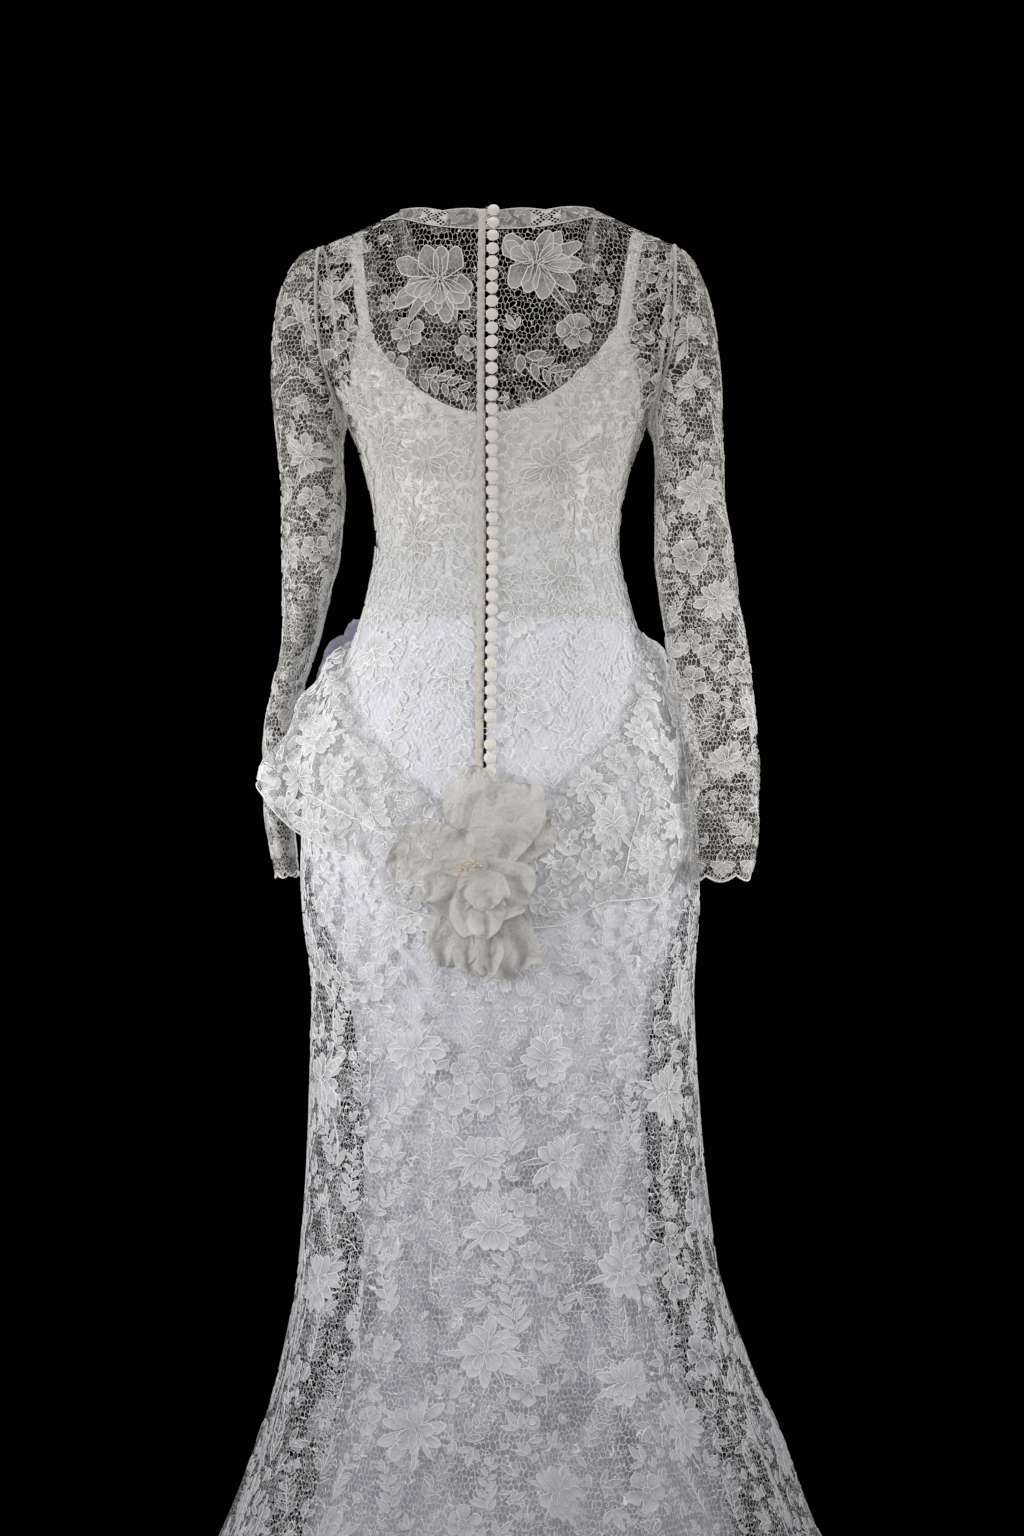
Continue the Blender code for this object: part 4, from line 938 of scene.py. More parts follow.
def bead_gloss(name, colour):
    """Small pearled beads: smooth, with a clear coat and colour that varies from bead to bead."""
    made = Fabric(name, colour, 0.25, 0.0)
    made.shader.inputs["Coat Weight"].default_value = 0.6
    made.tint(shade_of(colour, 0.75), colour, made.noise(300.0))


# Settings

def colour_setting(name, description, default):
    """A colour that the panel shows."""
    return bpy.props.FloatVectorProperty(name=name, description=description, subtype="COLOR", size=3, default=default,
                                         min=0, max=1)


class GownSizes(bpy.types.PropertyGroup):
    """Sizes of the cloth that a user would change."""
    net_pitch: bpy.props.FloatProperty(name="Net pitch", description="Width of one hexagon of the net",
                                       default=0.0050, min=0.001, unit="LENGTH")
    net_thread: bpy.props.FloatProperty(name="Net thread", description="Width of the net's thread",
                                        default=0.00035, min=0.0001, unit="LENGTH")


class GownColours(bpy.types.PropertyGroup):
    """Colours of the cloths. The bodice's warm colours and the skirt's cool ones are partly the cloths' own and partly
    painted light: warm light on the bodice and cool light on the skirt.
    """
    warm: colour_setting("Bodice lace", "Lace of the bodice and sleeves", (0.91, 0.885, 0.845))
    cool: colour_setting("Skirt lace", "Lace of the skirt and drapes", (0.97, 0.97, 0.995))
    satin: colour_setting("Satin", "Satin of the slip's skirt", (0.77, 0.785, 0.86))
    ivory: colour_setting("Bodice satin", "Satin of the slip's bodice and straps", (0.80, 0.80, 0.81))
    organza: colour_setting("Organza", "Organza of the rose", (0.75, 0.735, 0.715))
    lilac: colour_setting("Lilac", "Organza of the flower on the hip", (0.64, 0.655, 0.80))


def shade_of(colour, share):
    """A colour made darker by a share."""
    return tuple(float(c) * share for c in colour)


def materials():
    """The gown's cloths, made once."""
    if "bodice_net" not in bpy.data.materials:
        sizes, colours = bpy.context.scene.gown_sizes, bpy.context.scene.gown_colours
        warm, cool, satin, ivory, organza, lilac = (tuple(getattr(colours, key)) for key in GownColours.__annotations__)
        # hips turns the skirt's and drapes' lace darker and cooler towards the hem, painted shade of the light falling
        # off
        # painted light by height: waist turns the bodice's lace cooler towards the waist, for cool light there;
        waist, hips = ((0.965, 0.995, 1.05), -0.36, -0.20), ((0.93, 0.925, 0.965), -1.25, -0.48)
        pitch, thread = sizes.net_pitch, sizes.net_thread
        net_cloth("bodice_net", warm, pitch, thread)
        # a darker copy of the bodice's net: painted shade, so that the front's inside looks dark through the back's
        # yoke
        net_cloth("front_net", shade_of(warm, 0.8), pitch, thread, 0.04, 0.002)
        net_cloth("sleeve_net", warm, pitch * 0.9, thread * 1.2, 0.15, 0.007, 0.03)
        net_cloth("skirt_net", cool, pitch, thread * 1.2, 0.12, 0.008)
        net_cloth("drape_tulle", shade_of(cool, 0.88), pitch / 2, thread * 0.7, 0.30, 0.010, 0.10)
        motif_cloth("bodice_motif", shade_of(warm, 0.78), warm, waist)
        motif_cloth("skirt_motif", shade_of(cool, 0.90), cool, hips)
        motif_cloth("drape_motif", shade_of(cool, 0.78), shade_of(cool, 0.95), hips)
        border_cloth("neck_lace", shade_of(warm, 0.85), warm)
        # and the bodice's satin turns cooler towards the waist, painted cool light
        # painted light by height: the skirt's satin turns darker towards the hem, painted shade of the light falling
        # off,
        satin_cloth("skirt_satin", shade_of(satin, 0.96), satin, ((0.74, 0.73, 0.76), -1.15, -0.70))
        satin_cloth("bodice_satin", shade_of(ivory, 0.96), ivory, ((0.96, 0.98, 1.03), -0.36, -0.22))
        plain_cloth("button_satin", shade_of((0.84, 0.81, 0.75), 0.93), (0.84, 0.81, 0.75), 0.55, 90)
        plain_cloth("facing", (0.46, 0.43, 0.39), (0.78, 0.75, 0.70), 0.75, 420, relief=0.0008)
        petal_cloth("rose_organza", shade_of(organza, 0.72), organza, 0.76)
        petal_cloth("lilac_organza", shade_of(lilac, 0.80), lilac, 0.85)
        bead_gloss("gold_beads", (0.70, 0.55, 0.36))
    return bpy.data.materials


TURNED = {"back": [], "front": []}      # pieces that only the lamps of their own side light


def dress(piece, material, turned=None):
    """Give a piece its cloth and the side whose lamps light it."""
    piece.data.materials.append(materials()[material])
    if turned:
        TURNED[turned].append(piece)
    return piece


def cords(name, paths, radius, rim=1.0):
    """Cords along paths as one piece of corded lace, solid or, without a rim, sheer."""
    points, faces = zip(*(tube(path[None], radius) for path in paths))
    starts = np.concatenate([[0], np.cumsum([len(p) for p in points])[:-1]])
    points, faces = np.concatenate(points), np.concatenate([f + s for f, s in zip(faces, starts)])
    return build(name, points, [faces], marks={"rim": np.full(len(points), rim), "dense": np.full(len(points), 0.6)})


# Slip

SCOOP = table("side back front", [
    (0, 0.015, 0.4), (0.12, 0.04, 0.42), (0.244, 0.105, 0.5), (0.39, 0.26, 0.64), (0.47, 0.395, 0.69),
    (0.51, 0.47, 0.73), (0.556, 0.47, 0.73), (0.6, 0.36, 0.62), (0.69, 0.23, 0.42), (0.8, 0.09, 0.15),
    (1, -0.03, -0.03),
])
PLACKET_LEFT, PLACKET_RIGHT, PLACKET_END = 0.0070, 0.0040, -0.557
SATIN_FOLDS = table("theta width depth start", [
    (66, 5, 0.009, -0.76), (79, 4, 0.008, -0.84), (104, 5, 0.009, -0.78), (116, 4, 0.008, -0.86),
    (46, 4, 0.007, -0.95), (134, 5, 0.009, -0.86), (91, 4, 0.006, -0.98), (225, 7, 0.004, -0.9),
    (258, 6, 0.0045, -0.95), (285, 6, 0.004, -0.9), (315, 7, 0.004, -0.95),
])


def satin_form(theta, z):
    """The slip skirt with its soft folds, and its upper edge tucked under the bodice's."""
    tucked = 0.0007 * ramp(WAIST_SEAM - 0.004, WAIST_SEAM + 0.001, z)
    return drawn_in(slip_form(theta, z), theta, LAYER + tucked + fold_depth(SATIN_FOLDS, theta, z, 0.35))


def halves(name, parts):
    """A piece of several grids of rows, joined where their edges meet."""
    made = build(name, *joined(parts))
    shell = bmesh.new()
    shell.from_mesh(made.data)
    bmesh.ops.remove_doubles(shell, verts=shell.verts, dist=0.00002)
    shell.to_mesh(made.data)
    shell.free()
    return made


class GOWN_OT_slip(bpy.types.Operator):
    """Satin slip: bodice with a scooped back, straps and slim skirt"""
    bl_idname = "gown.slip"
    bl_label = "Slip"

    def execute(self, context):
        down = np.linspace(0, 1, 56)[:, None]
        low = WAIST_SEAM - 0.0010
        across = np.linspace(0, 1, 45)[None, :]

        def bodice(theta, key, gap=None):
            side = np.abs(theta % 180 - 90) / 90
            h = low + (ARMPIT + YOKE * at(SCOOP, key, side) - low) * down
            theta = theta + 0 * h
            if gap is not None:
                goal = turn_at(gap, h)
                theta = theta * goal / 90 if gap == PLACKET_LEFT else 180 - (180 - theta) * (180 - goal) / 90
            return moved(form, theta, h, WALL - under_lace(h))

        back = halves("satin_bodice_back", [bodice(90 * across, "back", PLACKET_LEFT),
                                            bodice(90 + 90 * across, "back", PLACKET_RIGHT)])
        front = halves("satin_bodice_front", [bodice(180 + 180 * np.linspace(0, 1, 111)[None], "front")])
        z = np.linspace(SLIP_HEM, WAIST_SEAM + 0.002, 64)[:, None]
        wide = ramp(PLACKET_END, PLACKET_END + 0.006, z) * (PLACKET_LEFT - PLACKET_RIGHT) / 2
        middle = (PLACKET_LEFT + PLACKET_RIGHT) / 2
        left = across * turn_at(middle + wide, z)
        right = 180 - (1 - across) * (180 - turn_at(middle - wide, z))
        skirt_back = halves("satin_skirt_back", [satin_form(left, z + 0 * left), satin_form(right, z + 0 * right)])
        theta = np.linspace(180, 360, 81)[None] + 0 * z
        skirt_front = halves("satin_skirt_front", [satin_form(theta, z + 0 * theta)])
        for piece, turned in ((back, "back"), (front, "front")):
            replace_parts(dress(piece, "bodice_satin", turned), "slip_bodice")
        for piece, turned, over in ((skirt_back, "back", back), (skirt_front, "front", front)):
            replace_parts(dress(piece, "skirt_satin", turned), "slip_skirt")
        for name, sign in (("slip_strap_left", 1), ("slip_strap_right", -1)):
            for key in ("back", "front"):
                strap = self.strap(f"satin_{name[5:]}_{key}", key, sign)
                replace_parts(dress(strap, "bodice_satin", key), name)
        return {"FINISHED"}

    def strap(self, name, key, sign):
        """Half of a strap: a strip of the form from the slip's edge to the top of the shoulder."""
        foot = ARMPIT + YOKE * STRAP_FOOT[key]
        rise = np.linspace(-0.06, 1, 30)[:, None]
        width = np.linspace(-0.5, 0.5, 7)[None, :]
        h = foot + (TOP - foot) * rise + 0 * width
        middle = STRAP_LOW_TURN + (STRAP_TOP_TURN - STRAP_LOW_TURN) * np.maximum(rise, 0) ** STRAP_BOW
        reach = YOKE_BACK["x_edge"][-1] * np.sin(np.radians(middle))
        theta = middle - np.degrees(width * STRAP_WIDTH / reach)
        theta = theta if key == "back" else 360 - theta
        points = moved(form, theta, h, WALL - under_lace(h) - 0.0003 * (rise < 0)) * (sign, 1, 1)
        return cloth_piece(name, points, flip=(sign == 1) != (key == "back"), thickness=0.0009)


# Lace body

CLOTHS = {}
DART_TOP, DART_TURNS = -0.270, (50.0, 131.0, 231.0, 309.0)


def body_cloth(part):
    """The readable cloths of the gown, made once."""
    if not CLOTHS:
        CLOTHS["skirt"] = Cloth(skirt_form, (-20, 380), (LACE_HEM, WAIST_SEAM + 0.01), (800, 420))
        CLOTHS["back"] = Cloth(form, (0.2, 179.8), (WAIST_SEAM - 0.03, TOP), (360, 270))
        CLOTHS["front"] = Cloth(form, (180.2, 359.8), (WAIST_SEAM - 0.03, TOP), (360, 270))
        for name, rows, sign in (("sleeve_left", SLEEVE_LEFT, 1), ("sleeve_right", SLEEVE_RIGHT, -1)):
            CLOTHS[name] = Cloth(lambda q, s: sleeve_form(rows, sign, q, s), (-0.2, 1.2), (0, CUFF), (360, 320), sign)
    return CLOTHS[part]


def off_strip(cloth, u, v):
    """Whether (u, v) is beside the loop strip and the buttons' edge."""
    x = cloth.place(u, v)[..., 0]
    return (x > LEFT_EDGE + STRIP_WIDTH * 0.8) | (x < -0.004)


# kind, x, z, radius, turn, dense of the main motifs on the back
BACK_SITES = [
    ("full", 0.052, -0.054, 0.053, 0.0, 0.55), ("full", -0.043, -0.042, 0.054, 2.8, 0.62),
    ("five", 0.085, -0.109, 0.019, 0.0, 0.75), ("five", -0.083, -0.109, 0.021, 0.8, 0.75),
    ("spray", 0.047, -0.163, 0.033, -0.45, 0.35), ("spray", -0.056, -0.146, 0.036, -0.4, 0.35),
    ("five", 0.024, -0.126, 0.013, 0.0, 0.7), ("five", 0.104, -0.078, 0.011, 1.0, 0.7),
    ("five", -0.110, -0.070, 0.012, 1.0, 0.7), ("sprig", -0.020, -0.100, 0.011, 2.0, 0.7),
    ("full", -0.060, -0.240, 0.036, 0.6, 0.6), ("full", 0.066, -0.235, 0.033, 0.2, 0.6),
]
# the same for the skirt, mostly flowers
SKIRT_SITES = [
    ("full", 0.078, -0.827, 0.034, 0.2, 0.95), ("full", -0.055, -0.835, 0.034, 1.1, 0.95),
    ("full", 0.174, -0.862, 0.038, 0.5, 0.9), ("full", -0.174, -0.872, 0.038, 0.4, 0.9),
    ("full", -0.130, -1.040, 0.036, 0.8, 0.9), ("full", 0.172, -1.058, 0.036, 0.1, 0.9),
    ("full", 0.000, -1.110, 0.037, 0.9, 0.9), ("full", 0.066, -1.185, 0.036, 0.4, 0.9),
    ("full", -0.072, -1.235, 0.036, 0.4, 0.9), ("full", 0.008, -0.930, 0.033, 0.0, 0.9),
    ("full", -0.020, -0.470, 0.026, 0.0, 0.55), ("full", 0.040, -0.455, 0.024, 0.7, 0.55),
]
SLEEVE_SITES = {
    "sleeve_left": [("full", 0.196, -0.095, 0.028, 0.3, 0.85), ("full", 0.192, -0.232, 0.028, 1.0, 0.85)],
    "sleeve_right": [("full", -0.205, -0.263, 0.028, 0.3, 0.85), ("five", -0.198, -0.334, 0.020, 1.0, 0.8),
                     ("full", -0.226, -0.375, 0.026, 0.6, 0.85), ("full", -0.196, -0.110, 0.028, 0.4, 0.85)],
}


class GOWN_OT_bodice_lace(bpy.types.Operator):
    """Lace bodice: two backs and one front, as net with corded motifs"""
    bl_idname = "gown.bodice_lace"
    bl_label = "Bodice lace"

    def execute(self, context):
        down = np.linspace(0, 1, 72)[:, None]
        low = WAIST_SEAM + SEAM / 2
        for side, left in (("left", True), ("right", False)):
            theta = np.linspace(0, 90, 61) if left else np.linspace(90, 180, 61)
            h = low + (band_edge(theta, True) - SEAM - low)[None, :] * down
            edge, centre = (0, -1) if left else (-1, 0)
            start = theta[edge] + seam_turn(h[:, edge:][:, :1]) * (1 if left else -1)
            goal = turn_at(LEFT_EDGE if left else RIGHT_EDGE, h[:, centre])[:, None]
            share = np.linspace(0, 1, 61)[None] if left else np.linspace(1, 0, 61)[None]
            theta = start + (goal - start) * share
            net = cloth_piece(f"net_back_{side}", moved(form, theta, h, LACE_MIDDLE + 0 * h), grain=centre)
            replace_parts(dress(net, "bodice_net", "back"), f"lace_bodice_back_{side}")
        theta = np.linspace(180, 360, 121)
        h = low + (band_edge(theta, False) - SEAM - low)[None, :] * down
        theta = np.repeat(theta[None, :], len(h), 0)
        theta[:, 0] += seam_turn(h[:, 0])
        theta[:, -1] -= seam_turn(h[:, -1])
        net = cloth_piece("net_front", moved(form, theta, h, LACE_MIDDLE + 0 * h), grain=60)
        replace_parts(dress(net, "front_net", "front"), "lace_bodice_front")
        self.motifs()
        self.darts()
        return {"FINISHED"}

    def motifs(self):
        """Two large flowers beside the buttons, smaller ones, leaf sprays, sprigs and tendrils between them, and a
        row of scallops over the waist seam."""
        back, front = body_cloth("back"), body_cloth("front")

        def on_back(u, v):
            clear = off_strip(back, u, v)
            return clear & (v < band_edge(u, True) - 0.004) & (v > WAIST_SEAM - 0.022) & (u > 1.2) & (u < 178.8)

        def on_front(u, v):
            return (v < band_edge(u, False) - 0.006) & (v > WAIST_SEAM - 0.022) & (u > 181.2) & (u < 358.8)

        def on_slip(u, v):
            side = np.abs(u - 90) / 90
            return on_back(u, v) & ((v < ARMPIT + YOKE * at(SCOOP, "back", side)) | (side > 0.56))

        def on_yoke(u, v):
            return on_back(u, v) & ~on_slip(u, v)

        def on_front_slip(u, v):
            side = np.abs(u - 270) / 90
            return on_front(u, v) & ((v < ARMPIT + YOKE * at(SCOOP, "front", side)) | (side > 0.75))

        few = [("sprig", 0.0085, 0.2, 600, 8, 0.4, 0, 3), ("bud", 0.0055, 0.2, 600, 4, 0.4, 0, 3)]
        kinds = [("full", 0.027, 0.15, 900, 12, 0.6, 0, 3), ("five", 0.0155, 0.18, 3000, 50, 0.6, 0, 3),
                 ("spray", 0.025, 0.15, 3000, 44, 0.6, 1.2, 1.3), ("rosette", 0.0055, 0.2, 3000, 14, 0.6, 0, 3),
                 ("sprig", 0.0095, 0.2, 6000, 260, 0.6, 0, 3), ("tendril", 0.008, 0.2, 9000, 300, 0.6, 0, 3),
                 ("bud", 0.0055, 0.2, 12000, 300, 0.6, 0, 3)]
        main = [site(back, *row) for row in BACK_SITES]
        main = scatter(back, (1, 179), (WAIST_SEAM, TOP), few, 10, on_yoke, main, 0.9)
        rng = np.random.default_rng(15)
        scallops = [("fan", u, WAIST_SEAM + 0.004, rng.uniform(0.013, 0.022), rng.normal(0, 0.15), 0.6)
                    for u in np.linspace(4, 176, 21)]
        placed = scatter(back, (1, 179), (WAIST_SEAM, TOP), kinds, 11, on_slip, main, 0.80) + scallops
        dress(lace_motifs("motifs_back", back, placed, 12, inside=on_back), "bodice_motif", "back")
        scallops = [("fan", u + 180, v, r, t, d) for _, u, v, r, t, d in scallops]
        kinds = [(*row[:4], int(row[4] * 0.5), *row[5:]) for row in kinds]
        main = scatter(front, (181, 359), (ARMPIT, TOP), few, 16, lambda u, v: on_front(u, v) & ~on_front_slip(u, v))
        placed = scatter(front, (181, 359), (WAIST_SEAM, TOP), kinds, 13, on_front_slip, main, 0.88) + scallops
        dress(lace_motifs("motifs_front", front, placed, 14, inside=on_front), "bodice_motif", "front")

    def darts(self):
        """The princess seams, two at the back and two at the front, as low ridges under the lace."""
        h = np.linspace(DART_TOP, WAIST_SEAM + 0.002, 40)
        paths = [moved(form, turn + 0 * h, h, 0.0001 + 0 * h) for turn in DART_TURNS]
        dress(cords("princess_seams", paths, 0.0008), "bodice_motif")


class GOWN_OT_skirt_lace(bpy.types.Operator):
    """Lace skirt: two backs and one front with vertical folds, as net with corded motifs"""
    bl_idname = "gown.skirt_lace"
    bl_label = "Skirt lace"

    def execute(self, context):
        cloth = body_cloth("skirt")
        z = np.linspace(LACE_HEM, WAIST_SEAM - SEAM / 2, 92)[:, None]
        panels = (("back_left", 0, 90, 91, 0.38), ("back_right", 90, 180, 91, 0.38), ("front", 180, 360, 121, 0.68))
        for name, start, end, columns, area in panels:
            theta = np.linspace(start, end, columns)[None, :] + 0 * z
            theta[:, 0] += seam_turn(z[:, 0])
            theta[:, -1] -= seam_turn(z[:, 0])
            high = z[:, 0] > BUTTON_LOW - BUTTON_RADIUS
            if end == 90:
                theta[high] = np.linspace(0, 1, columns)[None] * turn_at(LEFT_EDGE, z[high])
            if start == 90:
                theta[high] = 180 - np.linspace(1, 0, columns)[None] * (180 - turn_at(RIGHT_EDGE, z[high]))
            turned = name.split("_")[0]
            grain = {"back_left": columns - 1, "back_right": 0, "front": columns // 2}[name]
            points = cloth.place(theta, z + 0 * theta, LACE_MIDDLE + 0 * theta)
            net = cloth_piece("net_skirt_" + name, points, grain=grain)
            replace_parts(dress(net, "skirt_net", turned), "lace_skirt_" + name)
        self.motifs(cloth)
        return {"FINISHED"}

    def motifs(self, cloth):
        """Flowers in loose columns, leaf sprays down the cloth, sprigs and buds between them."""
        def clear(u, v):
            beside = off_strip(cloth, u, v) | (v < BUTTON_LOW - 0.008)
            return (v < WAIST_SEAM - 0.001) & (v > LACE_HEM + 0.001) & (beside | (u > 180) | (u < 0))

        first = [site(cloth, *row) for row in SKIRT_SITES]
        first += [("fan", u, LACE_HEM + 0.026, 0.024, 0.0, 0.9) for u in np.linspace(2, 358, 60)]

        def thinner(u, v):
            """clear, but fewer at the middle of the hips, by a chance that is the last digits of a large sine."""
            chance = (np.sin(u * 12.9898 + v * 78.233) * 43758.5) % 1
            hips = np.exp(-((np.abs(u - 90) - 14) / 14) ** 2) * ramp(-0.640, -0.560, v)
            return clear(u, v) & (chance > 0.8 * hips)

        sizes = (("back_left", 0, 90, 1.0), ("back_right", 90, 180, 1.0), ("front_right", 180, 270, 0.25),
                 ("front_left", 270, 360, 0.25))
        for name, start, end, share in sizes:
            kinds = [("full", 0.031, 0.12, 1500, 10, 0.95, 0, 3),
                     ("five", 0.0180, 0.15, 4000, int(34 * share), 0.85, 0, 3),
                     ("spray", 0.031, 0.15, 4000, int(50 * share), 0.75, 1.57, 0.35),
                     ("rosette", 0.0065, 0.2, 4000, int(12 * share), 0.7, 0, 3),
                     ("sprig", 0.0125, 0.2, 6000, int(150 * share), 0.7, 1.57, 1.5),
                     ("tendril", 0.0115, 0.2, 8000, int(170 * share), 0.7, 1.57, 1.0),
                     ("bud", 0.0078, 0.2, 9000, int(180 * share), 0.7, 1.57, 1.5)]
            mine = [m for m in first if start <= m[1] % 360 < end]
            placed = scatter(cloth, (start, end), (LACE_HEM, WAIST_SEAM), kinds, 21 + start, thinner, mine, 0.80)
            motifs = lace_motifs("motifs_skirt_" + name, cloth, placed, 30 + start, inside=clear)
            dress(motifs, "skirt_motif", name.split("_")[0])


# Sleeves

class GOWN_OT_sleeves(bpy.types.Operator):
    """Two long set-in lace sleeves with scalloped cuffs"""
    bl_idname = "gown.sleeves"
    bl_label = "Sleeves"

    def execute(self, context):
        kinds = [("full", 0.026, 0.12, 500, 9, 0.85, 0, 3), ("five", 0.0155, 0.15, 2000, 22, 0.8, 0, 3),
                 ("spray", 0.024, 0.15, 2000, 24, 0.6, 1.57, 0.5), ("rosette", 0.0055, 0.2, 2500, 6, 0.7, 0, 3),
                 ("sprig", 0.0095, 0.2, 4000, 76, 0.7, 0, 3), ("tendril", 0.010, 0.2, 5000, 90, 0.6, 0, 3),
                 ("bud", 0.0056, 0.2, 6000, 60, 0.7, 0, 3)]

        def inside(_, v):
            return (v > 0.05) & (v < CUFF - 0.03)

        for name, seed in (("sleeve_left", 41), ("sleeve_right", 43)):
            cloth = body_cloth(name)
            s = np.linspace(0, CUFF, 110)[:, None]
            first = [site(cloth, *row) for row in SLEEVE_SITES[name]]
            first += [("fan", (k + 0.5) / CUFF_SCALLOPS, CUFF - 0.75, 0.017, 0.0, 0.7) for k in range(CUFF_SCALLOPS)]
            placed = scatter(cloth, (0, 1), (0.2, CUFF - 0.6), kinds, seed, inside, first, 0.80)
            for turned, start in (("back", 0.0), ("front", 0.5)):
                q = start + np.linspace(0, 0.5, 45)[None, :]
                points = cloth.place(q + 0 * s, s + 0 * q, LACE_MIDDLE + 0 * (q + s))
                net = cloth_piece(f"net_{name}_{turned}", points, flip=name == "sleeve_right", grain=22)
                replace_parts(dress(net, "sleeve_net", turned), name)
                mine = [m for m in placed if start <= m[1] % 1 < start + 0.5]
                motifs = lace_motifs(f"motifs_{name}_{turned}", cloth, mine, seed + 1, inside=inside)
                dress(motifs, "bodice_motif", turned)
            q, s = np.linspace(0, 1, 121), np.linspace(0.1, CUFF - 0.1, 90)
            paths = [cloth.place(q, CUFF - 0.01 + 0 * q, 0.0007 + 0 * q), cloth.place(0.0 * s, s, 0.0004 + 0 * s)]
            dress(cords("edges_" + name, paths, 0.0008), "bodice_motif")
            seam = cords("armhole_" + name, [cloth.place(q, 0.02 + 0 * q, -0.0004 + 0 * q)], 0.0019, rim=0.0)
            dress(seam, "bodice_motif")
        return {"FINISHED"}


# Neck band, strip, loops and buttons

LADDER_FROM_CENTRE = (0.0760, 0.0615)     # along the border from the centre back to the first cross, left and right
CORD_OFF = 0.0006          # how far the border's lower cord stands off its lace


